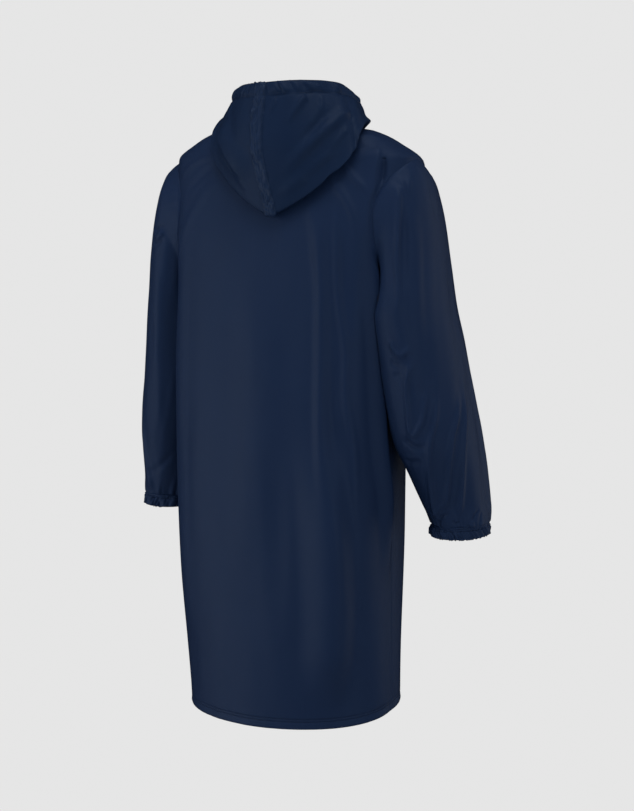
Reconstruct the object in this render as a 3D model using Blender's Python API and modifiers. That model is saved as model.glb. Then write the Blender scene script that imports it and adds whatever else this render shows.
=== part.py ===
"""Hooded deck coat, filled out as it is worn.

Metres, +Z up. The coat faces -Y and the wearer's left is +X. The origin is the middle of the neck,
level with the tops of the shoulder seams, where the wearer's neck and shoulders hold the coat.
Each piece that is cut and sewn is one object: a thin wall lofted through rows, each row worked out
from the tables below.
"""

import math

import bmesh
import bpy
import numpy as np
from mathutils import Matrix, Vector
from mathutils.bvhtree import BVHTree

# ---------------------------------------------------------------- driving dimensions
WALL = 0.0016           # shell cloth with its backing
CUFF_WALL = 0.0026      # two layers of cloth round the elastic
SEAM_GAP = 0.0003       # between two pieces at a seam
SHOULDER_GAP = 0.0009   # the shoulder is a ridge, so its inner edges need more room
ARM_SEAM_GAP = 0.0010   # the sleeve turns at this seam, so its inner edge needs more room
HOOD_SEAM_GAP = 0.0016  # the halves round in towards this seam
HOOD_LIFT = 0.0010      # the hood's first row above the neck edge
LENGTH = 1.040          # shoulder point to hem

# The body, row by row. level: height of the row's outer end. back, front: how far the cloth
# stands behind and before the shoulder line at the centre. side: the outer end of the row, which
# is the side seam, and above the shoulder tip the shoulder seam. seam: how far behind the
# shoulder line that end lies. fold, front_fold: how far out the back and the front round before
# they turn in to the seam. drop: how far the front row hangs below its outer end at the centre.
BODY_COLUMNS = ("level", "back", "front", "side", "seam", "fold", "front_fold", "drop")
BODY = (
    (-LENGTH, 0.150, 0.108, 0.205, 0.014, 0.212, 0.209, -0.010),
    (-0.850, 0.160, 0.112, 0.207, 0.022, 0.212, 0.209, -0.004),
    (-0.620, 0.163, 0.114, 0.210, 0.028, 0.217, 0.209, 0.000),
    (-0.480, 0.158, 0.116, 0.202, 0.022, 0.233, 0.206, 0.000),
    (-0.380, 0.150, 0.118, 0.192, 0.014, 0.245, 0.200, 0.002),
    (-0.285, 0.140, 0.120, 0.182, 0.006, 0.252, 0.198, 0.005),
    (-0.200, 0.128, 0.118, 0.200, 0.005, 0.254, 0.220, 0.020),
    (-0.130, 0.112, 0.108, 0.220, 0.005, 0.250, 0.236, 0.045),
    (-0.058, 0.090, 0.096, 0.242, 0.004, 0.242, 0.242, 0.068),
    (-0.030, 0.081, 0.093, 0.204, 0.003, 0.204, 0.204, 0.076),
    (-0.009, 0.075, 0.091, 0.155, 0.002, 0.155, 0.155, 0.082),
    (0.000, 0.072, 0.090, 0.095, 0.000, 0.095, 0.095, 0.085),
)
SKIRT_ROWS = 9          # from the hem to the armpit
ARMHOLE_ROWS = 10       # from the armpit to the shoulder tip
SHOULDER_ROWS = 3       # from the shoulder tip to the neck
BACK_COLUMNS = 12       # from the centre to each side
FRONT_COLUMNS = 11
FLATNESS = 0.58         # how far the back stays flat before it rounds to the side
CORNER = 0.82           # how far back that round begins, as a share of the depth
HEM_CORNER = 0.60       # the same at the hem
SIDE_SPREAD = 0.20      # how much of the fold's overhang is left just before the seam
SIDE_BEGIN = 0.42       # where that is, as a share of the way to the corner
CROWDING = 4.0          # how close to the armhole the columns crowd to make way for it
SHOULDER_TILT = 0.010   # rise for each metre towards the wearer's left
HEM_TILT = -0.060       # the same at the hem
HEM_RISE = 0.120        # rise of the hem for each metre towards the front
SHOULDER_FADE = (-0.350, -0.100)    # heights between which each of these comes in
HEM_FADE = (-0.600, -1.000)
CORNER_FADE = (-0.700, -1.030)

# Cloth that hangs against other cloth is moved off it in a few passes.
REST_ROUNDS = 5
DEEPEST = 0.050         # a point further inside than this belongs elsewhere
# Corners of a face taken two at a time: each corner, the middle of each side and of each diagonal.
QUAD_TESTS = ((0, 0), (1, 1), (2, 2), (3, 3), (0, 1), (1, 2), (2, 3), (3, 0), (0, 2), (1, 3))

# The armhole is an ellipse in a plane that leans in towards the armpit.
ARMHOLE_TOP = -0.058
ARMHOLE_FOOT = -0.285
ARMHOLE_HALF_DEPTH = 0.080
EDGE_BEFORE = 0.97      # share of a row where its direction at the armhole is read

# Broad upright folds. across: place along the row, from the centre, in metres. top, foot: where
# the fold fades out. width: from foot to foot of the ridge. depth: how far it stands out.
FOLDS_END = 0.85        # share of a row past which there are none
FOLD_FADE = 0.14        # height over which a fold comes in or dies away
FOLD_COLUMNS = ("across", "lean", "top", "foot", "width", "depth")
BACK_FOLDS = (
    (-0.075, 0.010, -0.100, -1.020, 0.090, 0.014),
    (-0.135, 0.000, -0.120, -0.900, 0.075, 0.012),
    (-0.190, -0.010, -0.160, -0.800, 0.060, 0.010),
    (0.075, 0.010, -0.200, -1.000, 0.150, 0.014),
    (0.185, -0.010, -0.200, -0.850, 0.080, 0.008),
)
FRONT_FOLDS = (
    (0.075, 0.010, -0.240, -1.000, 0.090, 0.008),
    (0.150, 0.000, -0.180, -0.900, 0.080, 0.007),
)

# The sleeve, ring by ring, below the armhole. inner_*: the point nearest the body. outer_*: the
# point on the outside of the arm. back: how far its middle lies behind the shoulder line.
# half_deep: half the ring's depth from front to back.
SLEEVE_COLUMNS = ("inner_out", "inner_up", "outer_out", "outer_up", "back", "half_deep")
SLEEVE = (
    (0.188, -0.289, 0.261, -0.075, 0.004, 0.0800),
    (0.190, -0.293, 0.275, -0.112, 0.003, 0.0830),
    (0.191, -0.299, 0.286, -0.163, 0.001, 0.0850),
    (0.192, -0.309, 0.296, -0.226, -0.002, 0.0850),
    (0.195, -0.331, 0.306, -0.300, -0.005, 0.0850),
    (0.201, -0.388, 0.320, -0.368, -0.010, 0.0840),
    (0.210, -0.462, 0.335, -0.450, -0.016, 0.0820),
    (0.221, -0.535, 0.349, -0.527, -0.021, 0.0780),
    (0.233, -0.600, 0.360, -0.594, -0.026, 0.0720),
    (0.248, -0.652, 0.367, -0.648, -0.029, 0.0640),
    (0.264, -0.690, 0.364, -0.687, -0.031, 0.0540),
)
SLEEVE_CLEAR = 0.0035   # least room between a sleeve and the body
SLEEVE_SEGMENTS = 2 * ARMHOLE_ROWS
ARM_SWAY = 0.0065       # both arms hang a little towards the wearer's left at the shoulder
SWAY_FADE = (-0.400, -0.200)
CUFF_HEIGHT = 0.021
CUFF_BULGE = 0.0025
CUFF_ROWS = 4

# Half of the hood, station by station from the centre back round to the front. neck: place on
# the neck edge, 0 at the centre back, 1 at the shoulder, 2 at the centre front. fold_*: the lower
# edge of the bag. rim_*: the face opening. thick: half the bag's depth at its lower edge.
# belly: how far the outer cloth stands out between them. swing: sideways shift of the fold.
HOOD_COLUMNS = ("neck", "fold_out", "fold_back", "fold_up", "rim_out", "rim_back", "rim_up",
                "thick", "belly", "swing")
HOOD = (
    (0.00, 0.000, 0.122, -0.160, 0.000, 0.124, 0.068, 0.008, 0.022, -0.020),
    (0.25, 0.047, 0.122, -0.136, 0.040, 0.116, 0.072, 0.009, 0.020, -0.018),
    (0.50, 0.097, 0.108, -0.096, 0.074, 0.090, 0.070, 0.010, 0.016, -0.012),
    (0.75, 0.139, 0.075, -0.052, 0.100, 0.050, 0.062, 0.010, 0.010, -0.004),
    (1.00, 0.164, 0.015, -0.002, 0.112, 0.000, 0.050, 0.009, 0.006, 0.006),
    (1.30, 0.134, -0.055, -0.020, 0.100, -0.046, 0.026, 0.008, 0.004, 0.002),
    (1.65, 0.072, -0.100, -0.060, 0.060, -0.088, -0.020, 0.007, 0.004, 0.000),
    (2.00, 0.016, -0.114, -0.082, 0.014, -0.104, -0.050, 0.005, 0.003, 0.000),
)
HOOD_TILT = -0.050      # rise of the rim for each metre towards the wearer's left
HOOD_CLEAR = 0.0025     # least room between the hood and what it lies on
HOOD_SPARE = 0.0030     # more room for the bag's lower edge, which keeps its thickness there
BAG_RISE = 0.0070       # how far the under cloth arches between the neck seam and the lower edge
BAG_TURN = 1.2          # where the lower edge begins to turn, in half thicknesses of the bag
BAG_DIP = 0.7           # how much of the bag's half thickness lies under its edge
HOOD_STAND = 0.013      # the hood stands up this far from the neck seam before it falls back
HOOD_STATIONS = 13
# Points along each profile, as shares of its length: closest at the neck and at the lower edge.
HOOD_PROFILE = (0.0, 0.022, 0.055, 0.12, 0.22, 0.33, 0.41, 0.455, 0.50, 0.56, 0.66, 0.77, 0.885,
                1.0)

# Zip: tapes behind the front edges, closed teeth between them, the slider at the top.
FRONT_EDGE = 0.0055     # front panel's edge from the centre
TEETH_HALF = 0.0029
TEETH_DEEP = 0.0024
TAPE_INNER = 0.0033
TAPE_OUTER = 0.0150
TAPE_DEEP = 0.0010
TAPE_BEHIND = 0.0025    # the fronts' wall and a little room, because they round away
ZIP_TOP = -0.0930
ZIP_FOOT = -LENGTH + 0.0400
BOX_HALF = 0.0039
BOX_DEEP = 0.0034
BOX_PROUD = 0.0008      # how far the box stands before the teeth
BOX_EDGE = 0.0005
BOX_LENGTH = 0.0100
SLIDER_AT = -0.1020
SLIDER_HALF = 0.0044    # half the width of the channel that runs over the teeth
SLIDER_LIP = 0.0011
SLIDER_ROOM = 0.0005    # between the teeth and the channel
SLIDER_FACE = 0.0021    # how far its face stands before the teeth
SLIDER_REACH = 0.0012   # how far its lips reach back beside them
SLIDER_LENGTH = 0.0120
BAIL_WIRE = 0.0007      # radius
BAIL_HALF = 0.0036
BAIL_HIGH = 0.0034
BAIL_SQUARE = 0.6       # under 1 squares the loop's shoulders
BAIL_SUNK = 0.0008      # how far the wire's ends run into the slider
PULL_AXIS = 0.00345     # how far the pull's bar stands before the teeth
PULL_BAR = 0.0007       # half the bar's height
PULL_HALF_DEEP = 0.0006
PULL_HALF_WIDTH = 0.0037
PULL_LENGTH = 0.0300
WINDOW_HALF = 0.0015
WINDOW_FOOT = 0.0055
PULL_EDGE = 0.00025

NAVY = (0.011, 0.020, 0.048)
NAVY_TAPE = (0.008, 0.013, 0.030)
BLACK_TEETH = (0.010, 0.012, 0.018)
DARK_METAL = (0.060, 0.062, 0.068)


# ---------------------------------------------------------------- tables and curves
def columns(names, rows):
    """A table as one array for each named column."""
    values = np.array(rows, dtype=float)
    return {name: values[:, i] for i, name in enumerate(names)}


def read(table, key, name, at):
    """A column at any value of the key column, on a curve that never overshoots its rows."""
    x = table[key]
    y = table[name]
    step = np.diff(x)
    rise = np.diff(y) / step
    slope = np.empty_like(y)
    slope[0] = rise[0]
    slope[-1] = rise[-1]
    for i in range(1, len(y) - 1):
        if rise[i - 1] * rise[i] <= 0:
            slope[i] = 0.0
        else:
            slope[i] = 2 * rise[i - 1] * rise[i] / (rise[i - 1] + rise[i])
    i = int(np.clip(np.searchsorted(x, at) - 1, 0, len(step) - 1))
    t = (at - x[i]) / step[i]
    h = step[i]
    return ((1 + 2 * t) * (1 - t) ** 2 * y[i] + t * (1 - t) ** 2 * h * slope[i]
            + t * t * (3 - 2 * t) * y[i + 1] + t * t * (t - 1) * h * slope[i + 1])


def bezier(points, t):
    """A point on the Bezier curve of any number of control points."""
    points = [Vector(p) for p in points]
    while len(points) > 1:
        points = [a.lerp(b, t) for a, b in zip(points, points[1:])]
    return points[0]


def spline(points, shares):
    """Points at the given shares of the length of a smooth curve through the given points."""
    ends = [2 * points[0] - points[1]] + points + [2 * points[-1] - points[-2]]
    dense = []
    for a, b, c, d in zip(ends, ends[1:], ends[2:], ends[3:]):
        for i in range(16):
            t = i / 16
            dense.append(0.5 * (2 * b + (c - a) * t + (2 * a - 5 * b + 4 * c - d) * t * t
                                + (3 * b - a - 3 * c + d) * t ** 3))
    dense.append(points[-1])
    walked = [0.0]
    for a, b in zip(dense, dense[1:]):
        walked.append(walked[-1] + (b - a).length)
    found = []
    for share in shares:
        target = walked[-1] * share
        j = min(max(int(np.searchsorted(walked, target)), 1), len(dense) - 1)
        part = (target - walked[j - 1]) / (walked[j] - walked[j - 1])
        found.append(dense[j - 1].lerp(dense[j], part))
    return found


def bump(distance, width):
    """1 on the ridge, falling smoothly to 0 at half the width on each side."""
    if abs(distance) >= width / 2:
        return 0.0
    return math.cos(math.pi * distance / width) ** 2


def smooth(share):
    share = min(max(share, 0.0), 1.0)
    return share * share * (3 - 2 * share)


def fade(z, ends):
    """0 at the first height and before it, 1 at the second and past it."""
    return smooth((z - ends[0]) / (ends[1] - ends[0]))


def window(z, top, foot):
    """1 between top and foot, fading to 0 just past them."""
    return smooth((z - foot) / FOLD_FADE + 0.5) * smooth((top - z) / FOLD_FADE + 0.5)


# ---------------------------------------------------------------- making objects
def material(name, colour, roughness, metallic=0.0):
    made = bpy.data.materials.new(name)
    made.use_nodes = True
    shader = made.node_tree.nodes["Principled BSDF"]
    shader.inputs["Base Color"].default_value = (*colour, 1.0)
    shader.inputs["Roughness"].default_value = roughness
    shader.inputs["Metallic"].default_value = metallic
    made.diffuse_color = (*colour, 1.0)
    return made


def keep(name, mesh, finish, collection):
    obj = bpy.data.objects.new(name, mesh)
    collection.objects.link(obj)
    mesh.materials.append(finish)
    return obj


def cloth(name, rows, finish, collection, ring=False, flip=False, wall=WALL):
    """A wall of even thickness behind a surface lofted through rows of points."""
    across = len(rows[0])
    mesh = bpy.data.meshes.new(name)
    faces = []
    for i in range(len(rows) - 1):
        for j in range(across if ring else across - 1):
            k = (j + 1) % across
            corners = (i * across + j, i * across + k, (i + 1) * across + k, (i + 1) * across + j)
            faces.append(corners[::-1] if flip else corners)
    mesh.from_pydata([tuple(p) for row in rows for p in row], [], faces)
    mesh.shade_smooth()
    obj = keep(name, mesh, finish, collection)
    shell = obj.modifiers.new("wall", "SOLIDIFY")
    shell.thickness = wall
    shell.offset = -1.0
    return obj


def plate(name, outlines, half_thickness, finish, collection):
    """A flat piece from its outline, with any further outlines as holes."""
    curve = bpy.data.curves.new(name, "CURVE")
    curve.dimensions = "2D"
    curve.fill_mode = "BOTH"
    curve.extrude = half_thickness
    for outline in outlines:
        line = curve.splines.new("POLY")
        line.points.add(len(outline) - 1)
        for point, (x, y) in zip(line.points, outline):
            point.co = (x, y, 0.0, 1.0)
        line.use_cyclic_u = True
    curve.materials.append(finish)
    obj = bpy.data.objects.new(name, curve)
    collection.objects.link(obj)
    return obj


def as_mesh(obj):
    """The object as a welded mesh, in place of its curve."""
    bpy.context.view_layer.update()
    evaluated = obj.evaluated_get(bpy.context.evaluated_depsgraph_get())
    mesh = bpy.data.meshes.new_from_object(evaluated)
    work = bmesh.new()
    work.from_mesh(mesh)
    bmesh.ops.remove_doubles(work, verts=work.verts, dist=1e-6)
    bmesh.ops.recalc_face_normals(work, faces=work.faces)
    work.to_mesh(mesh)
    work.free()
    made = bpy.data.objects.new(obj.name + "_mesh", mesh)
    for collection in obj.users_collection:
        collection.objects.link(made)
    made.matrix_world = obj.matrix_world
    name = obj.name
    bpy.data.objects.remove(obj, do_unlink=True)
    made.name = name
    return made


def soften(obj, width):
    edge = obj.modifiers.new("edge", "BEVEL")
    edge.width = width
    edge.segments = 2
    edge.limit_method = "ANGLE"
    edge.angle_limit = math.radians(40)


# ---------------------------------------------------------------- the body's form
BODY_TABLE = columns(BODY_COLUMNS, BODY)
ARM_MIDDLE = (ARMHOLE_TOP + ARMHOLE_FOOT) / 2
ARM_HALF_HEIGHT = (ARMHOLE_TOP - ARMHOLE_FOOT) / 2


def body_levels():
    """Heights of the rows. The sleeve's rings have points at the same heights on the armhole."""
    skirt = np.linspace(-LENGTH, ARMHOLE_FOOT, SKIRT_ROWS + 1)
    turns = np.linspace(0, math.pi, ARMHOLE_ROWS + 1)[1:]
    armhole = ARM_MIDDLE - ARM_HALF_HEIGHT * np.cos(turns)
    shoulder = np.linspace(ARMHOLE_TOP, 0.0, SHOULDER_ROWS + 1)[1:]
    return list(skirt) + list(armhole) + list(shoulder)


def armhole_depth(level):
    """Half the armhole's depth from front to back, or half the seam's gap away from it."""
    if level >= ARMHOLE_TOP:
        return SHOULDER_GAP / 2
    rise = (level - ARM_MIDDLE) / ARM_HALF_HEIGHT
    return max(ARMHOLE_HALF_DEPTH * math.sqrt(max(1 - rise * rise, 0.0)), SEAM_GAP / 2)


def fold_height(table, across, level):
    """How far the broad folds stand out at one place."""
    high = 0.0
    for place, lean, top, foot, width, depth in table:
        ridge = place + lean * (level - top) / (foot - top)
        high += depth * bump(across - ridge, width) * window(level, top, foot)
    return high


def tilted(point):
    """The shoulders and the hem aren't quite level."""
    low = fade(point.z, HEM_FADE)
    slope = SHOULDER_TILT * fade(point.z, SHOULDER_FADE) + HEM_TILT * low
    return point + Vector((0, 0, slope * point.x - HEM_RISE * low * point.y))


def body_plan(level, back):
    """Control points of a row, seen from above, from the centre to the side."""
    def value(name):
        return read(BODY_TABLE, "level", name, level)

    out = value("fold" if back else "front_fold")
    side = value("side")
    seam = value("seam")
    centre = value("back") if back else -value("front")
    roundness = CORNER + (HEM_CORNER - CORNER) * fade(level, CORNER_FADE)
    corner = seam + roundness * (centre - seam)
    return (
        (0.0 if back else FRONT_EDGE, centre, 0),
        (FLATNESS * out, centre, 0),
        (out, corner, 0),
        (side + SIDE_SPREAD * (out - side), seam + SIDE_BEGIN * (corner - seam), 0),
        (side, seam, 0),
    )


def row_share(level, back):
    """How much of a row belongs to the panel: the rest lies inside the armhole."""
    plan = body_plan(level, back)
    seam = plan[-1][1]
    deep = armhole_depth(level)
    low, high = 0.0, 1.0
    for _ in range(30):
        middle = (low + high) / 2
        if abs(bezier(plan, middle).y - seam) > deep:
            low = middle
        else:
            high = middle
    return low


def body_point(level, t, side, back):
    """A point of the body. t runs from the centre, 0, to the row's outer end, 1."""
    share = row_share(level, back)
    crowding = min(CROWDING, 0.9 * share / max(1 - share, 0.01))
    along = t * (1 - (1 - share) * t ** crowding)
    plan = bezier(body_plan(level, back), along)
    ease = math.sin(math.pi * min(along / FOLDS_END, 1.0)) ** 0.5
    if back:
        plan.y += ease * fold_height(BACK_FOLDS, side * plan.x, level)
        return tilted(Vector((side * plan.x, plan.y, level)))
    plan.y -= ease * fold_height(FRONT_FOLDS, plan.x, level)
    drop = read(BODY_TABLE, "level", "drop", level)
    high = level - drop * math.cos(math.pi * along / 2) ** 2
    return tilted(Vector((side * plan.x, plan.y, high)))


def neck_point(place, side):
    """A point of the neck edge: 0 at the centre back, 1 at the shoulder, 2 at the centre front."""
    if place <= 1:
        return body_point(0.0, place, side, True)
    return body_point(0.0, 2 - place, side, False)


def front_centre(z):
    """How far the front stands before the shoulder line at the zip, at any height."""
    edge = [body_point(level, 0.0, 1, False) for level in body_levels()]
    return -float(np.interp(z, [point.z for point in edge], [point.y for point in edge]))


def back_rows():
    rows = []
    for level in body_levels():
        left = [body_point(level, i / BACK_COLUMNS, 1, True) for i in range(BACK_COLUMNS, 0, -1)]
        right = [body_point(level, i / BACK_COLUMNS, -1, True) for i in range(BACK_COLUMNS + 1)]
        rows.append(left + right)
    return rows


def front_rows(side):
    rows = []
    for level in body_levels():
        rows.append([body_point(level, i / FRONT_COLUMNS, side, False)
                     for i in range(FRONT_COLUMNS + 1)])
    return rows


def body_surface():
    """The body's outer face as a search tree, for what lies on it or hangs against it."""
    points = []
    faces = []
    for rows, flip in ((back_rows(), False), (front_rows(1), False), (front_rows(-1), True)):
        start = len(points)
        across = len(rows[0])
        points.extend(point for row in rows for point in row)
        for i in range(len(rows) - 1):
            for j in range(across - 1):
                k = start + i * across + j
                corners = (k, k + 1, k + across + 1, k + across)
                faces.append(corners[::-1] if flip else corners)
    return BVHTree.FromPolygons(points, faces)


def shortage(surface, point, room):
    """The push that brings a point as far off the surface as the given room, or None."""
    place, normal, _, _ = surface.find_nearest(point)
    away = (point - place).dot(normal)
    if away >= room or away < -DEEPEST:
        return None
    return normal * (room - away)


def rest_rows(rows, surface, room, ring=False):
    """Moves the rows off the surface, between their points too. Each row's first point stays."""
    across = len(rows[0])
    for _ in range(REST_ROUNDS):
        for low, high in zip(rows, rows[1:]):
            for j in range(0 if ring else 1, across if ring else across - 1):
                k = (j + 1) % across
                corners = (low[j], low[k], high[k], high[j])
                for a, b in QUAD_TESTS:
                    push = shortage(surface, (corners[a] + corners[b]) / 2, room)
                    if push is not None:
                        corners[a].xyz = corners[a] + push
                        corners[b].xyz = corners[b] + (push if a != b else Vector())
    return rows


# ---------------------------------------------------------------- sleeves and cuffs
def ring_points(inner, outer, half_deep, side):
    """A ring through its inner and outer points. It starts on the outside of the arm."""
    centre = (inner + outer) / 2
    half = (outer - inner) / 2
    points = []
    for i in range(SLEEVE_SEGMENTS):
        angle = 2 * math.pi * i / SLEEVE_SEGMENTS
        point = centre + half * math.cos(angle) + Vector((0, half_deep * math.sin(angle), 0))
        sway = ARM_SWAY * fade(point.z, SWAY_FADE)
        points.append(tilted(Vector((side * point.x + sway, point.y, point.z))))
    return points


def armhole_ring(side):
    """The sleeve's first ring: the edge of the armhole, moved off it by the seam's gap."""
    points = []
    for i in range(SLEEVE_SEGMENTS):
        angle = 2 * math.pi * i / SLEEVE_SEGMENTS
        level = ARM_MIDDLE + ARM_HALF_HEIGHT * math.cos(angle)
        back = math.sin(angle) >= 0
        edge = body_point(level, 1.0, side, back)
        onward = edge - body_point(level, EDGE_BEFORE, side, back)
        onward = onward.normalized() * abs(math.sin(angle))
        onward += Vector((side, 0, 0)) * abs(math.cos(angle))
        points.append(edge + onward.normalized() * ARM_SEAM_GAP)
    return points


def sleeve_rings(side, surface):
    rings = []
    for inner_out, inner_up, outer_out, outer_up, back, half_deep in SLEEVE:
        inner = Vector((inner_out, back, inner_up))
        outer = Vector((outer_out, back, outer_up))
        rings.append(ring_points(inner, outer, half_deep, side))
    return [armhole_ring(side)] + rest_rows(rings, surface, SLEEVE_CLEAR, ring=True)


def cuff_rings(side):
    inner_out, inner_up, outer_out, outer_up, back, half_deep = SLEEVE[-1]
    inner = Vector((inner_out, back, inner_up))
    outer = Vector((outer_out, back, outer_up))
    across = (outer - inner).normalized()
    down = Vector((across.z, 0, -across.x))
    rings = []
    for i in range(CUFF_ROWS + 1):
        share = i / CUFF_ROWS
        shift = down * (SEAM_GAP + CUFF_HEIGHT * share)
        swell = across * CUFF_BULGE * math.sin(math.pi * share)
        rings.append(ring_points(inner + shift - swell, outer + shift + swell,
                                 half_deep + swell.length, side))
    return rings


# ---------------------------------------------------------------- hood
HOOD_TABLE = columns(HOOD_COLUMNS, HOOD)


def hood_profile(place, side, surface):
    """From the neck seam out under the bag, round its lower edge and up to the rim."""
    def value(name):
        return read(HOOD_TABLE, "neck", name, place)

    start = neck_point(place, side) + Vector((0, 0, HOOD_LIFT))
    fold = Vector((side * value("fold_out") + value("swing"), value("fold_back"), value("fold_up")))
    rim = Vector((side * value("rim_out"), value("rim_back"), value("rim_up")))
    rim.z += HOOD_TILT * rim.x
    along = (fold - start).normalized()
    outward = Vector((start.x, start.y, 0)).normalized()
    upward = outward + Vector((0, 0, 1))
    face = (upward - along * upward.dot(along)).normalized()
    thick = value("thick")
    stand = start + outward * 0.25 * HOOD_STAND + Vector((0, 0, HOOD_STAND))
    under = start.lerp(fold, 0.5) + face * BAG_RISE
    turn_in = fold - along * thick * BAG_TURN - face * thick * BAG_DIP
    turn_out = fold - along * thick * BAG_TURN + face * thick
    belly = fold.lerp(rim, 0.5) + face * value("belly")
    push = shortage(surface, tilted(turn_in), HOOD_CLEAR + HOOD_SPARE)
    if push is not None:
        turn_in, fold, turn_out = turn_in + push, fold + push, turn_out + push
        belly += push / 2
    route = spline([start, stand, under, turn_in, fold, turn_out, belly, rim], HOOD_PROFILE)
    return route[:1] + [tilted(point) for point in route[1:]]


def hood_rows(side, surface):
    rows = []
    for i in range(HOOD_STATIONS):
        place = 2.0 * i / (HOOD_STATIONS - 1)
        rows.append(hood_profile(place, side, surface))
    rest_rows(rows, surface, HOOD_CLEAR)
    for point in rows[0]:
        point.x += side * HOOD_SEAM_GAP / 2
    return rows


# ---------------------------------------------------------------- zip
def zip_strip(inner, outer, behind):
    """Rows of a strip that follows the fronts' edge, some way behind their face."""
    heights = [body_point(level, 0.0, 1, False).z for level in body_levels()]
    heights = [ZIP_FOOT] + [z for z in heights if ZIP_FOOT < z < ZIP_TOP] + [ZIP_TOP]
    rows = []
    for z in heights:
        y = behind - front_centre(z)
        rows.append([Vector((inner, y, z)), Vector((outer, y, z))])
    return rows


def zip_frame(z):
    """Place and lean of the zip line, for what sits on it."""
    step = 0.006
    lean = math.atan2(front_centre(z - step) - front_centre(z + step), 2 * step)
    return Matrix.Translation((0, -front_centre(z), z)) @ Matrix.Rotation(-lean, 4, "X")


def make_box(finish, collection):
    """The box that holds the pin at the foot of the zip."""
    front = -BOX_PROUD
    rear = BOX_DEEP - BOX_PROUD
    outline = ((-BOX_HALF, front), (BOX_HALF, front), (BOX_HALF, rear), (-BOX_HALF, rear))
    box = as_mesh(plate("zip_box", [outline], BOX_LENGTH / 2, finish, collection))
    box.matrix_world = zip_frame(ZIP_FOOT - SEAM_GAP - BOX_LENGTH / 2)
    soften(box, BOX_EDGE)


def make_slider(finish, collection, cutters):
    """A channel over the teeth, and the wire bail on its face that carries the pull."""
    inner = SLIDER_HALF - SLIDER_LIP
    outline = (
        (-SLIDER_HALF, -SLIDER_FACE), (SLIDER_HALF, -SLIDER_FACE), (SLIDER_HALF, SLIDER_REACH),
        (inner, SLIDER_REACH), (inner, -SLIDER_ROOM), (-inner, -SLIDER_ROOM),
        (-inner, SLIDER_REACH), (-SLIDER_HALF, SLIDER_REACH),
    )
    slider = as_mesh(plate("zip_slider", [outline], SLIDER_LENGTH / 2, finish, collection))
    slider.matrix_world = zip_frame(SLIDER_AT)

    curve = bpy.data.curves.new("bail", "CURVE")
    curve.dimensions = "3D"
    curve.bevel_depth = BAIL_WIRE
    curve.bevel_resolution = 2
    curve.use_fill_caps = True
    line = curve.splines.new("POLY")
    root = SLIDER_FACE - BAIL_SUNK
    route = [(root, BAIL_HALF)]
    for i in range(9):
        angle = math.pi * i / 8
        route.append((SLIDER_FACE + BAIL_HIGH * math.sin(angle) ** BAIL_SQUARE,
                      BAIL_HALF * math.cos(angle)))
    route.append((root, -BAIL_HALF))
    line.points.add(len(route) - 1)
    for point, (out, up) in zip(line.points, route):
        point.co = (0.0, -out, up, 1.0)
    bail = bpy.data.objects.new("bail", curve)
    cutters.objects.link(bail)
    bail.matrix_world = slider.matrix_world
    bail = as_mesh(bail)
    bail.hide_render = True
    bail.display_type = "WIRE"
    join = slider.modifiers.new("bail", "BOOLEAN")
    join.operation = "UNION"
    join.object = bail


def make_pull(finish, collection):
    """The pull tab. Its top bar runs through the bail, and its origin is on that bar's axis."""
    tail = []
    for i in range(9):
        angle = math.pi * i / 8
        tail.append((PULL_HALF_WIDTH * math.cos(angle),
                     -PULL_LENGTH + PULL_HALF_WIDTH - PULL_HALF_WIDTH * math.sin(angle)))
    outline = [(-PULL_HALF_WIDTH, PULL_BAR), (PULL_HALF_WIDTH, PULL_BAR)] + tail
    window = [(-WINDOW_HALF, -PULL_BAR), (WINDOW_HALF, -PULL_BAR),
              (WINDOW_HALF, -WINDOW_FOOT), (-WINDOW_HALF, -WINDOW_FOOT)]
    pull = as_mesh(plate("zip_pull", [outline, window], PULL_HALF_DEEP, finish, collection))
    stand = Matrix.Translation((0, -PULL_AXIS, 0)) @ Matrix.Rotation(math.pi / 2, 4, "X")
    pull.matrix_world = zip_frame(SLIDER_AT) @ stand
    soften(pull, PULL_EDGE)


def main():
    for obj in list(bpy.data.objects):
        bpy.data.objects.remove(obj, do_unlink=True)
    coat = bpy.data.collections.new("deck_coat")
    cutters = bpy.data.collections.new("cutters")
    bpy.context.scene.collection.children.link(coat)
    bpy.context.scene.collection.children.link(cutters)
    shell = material("shell_cloth", NAVY, 0.42)
    band = material("cuff_cloth", NAVY, 0.5)
    tape = material("zip_tape", NAVY_TAPE, 0.7)
    teeth = material("zip_teeth", BLACK_TEETH, 0.35)
    metal = material("zip_metal", DARK_METAL, 0.3, 1.0)
    surface = body_surface()
    cloth("back", back_rows(), shell, coat)
    for name, side in (("left", 1), ("right", -1)):
        cloth("front_" + name, front_rows(side), shell, coat, flip=side < 0)
        cloth("sleeve_" + name, sleeve_rings(side, surface), shell, coat, ring=True, flip=side > 0)
        cloth("cuff_" + name, cuff_rings(side), band, coat, ring=True, flip=side > 0, wall=CUFF_WALL)
        cloth("hood_" + name, hood_rows(side, surface), shell, coat, flip=side < 0)
        tape_rows = zip_strip(side * TAPE_INNER, side * TAPE_OUTER, TAPE_BEHIND)
        cloth("zip_tape_" + name, tape_rows, tape, coat, flip=side < 0, wall=TAPE_DEEP)
    cloth("zip_teeth", zip_strip(-TEETH_HALF, TEETH_HALF, 0.0), teeth, coat, wall=TEETH_DEEP)
    make_box(teeth, coat)
    make_slider(metal, coat, cutters)
    make_pull(metal, coat)


main()
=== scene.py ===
"""Hooded deck coat, filled out as it is worn: hood down, cuffs gathered, front zip closed."""
import math

import bpy
import numpy as np
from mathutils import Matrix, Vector
from mathutils.bvhtree import BVHTree


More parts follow.
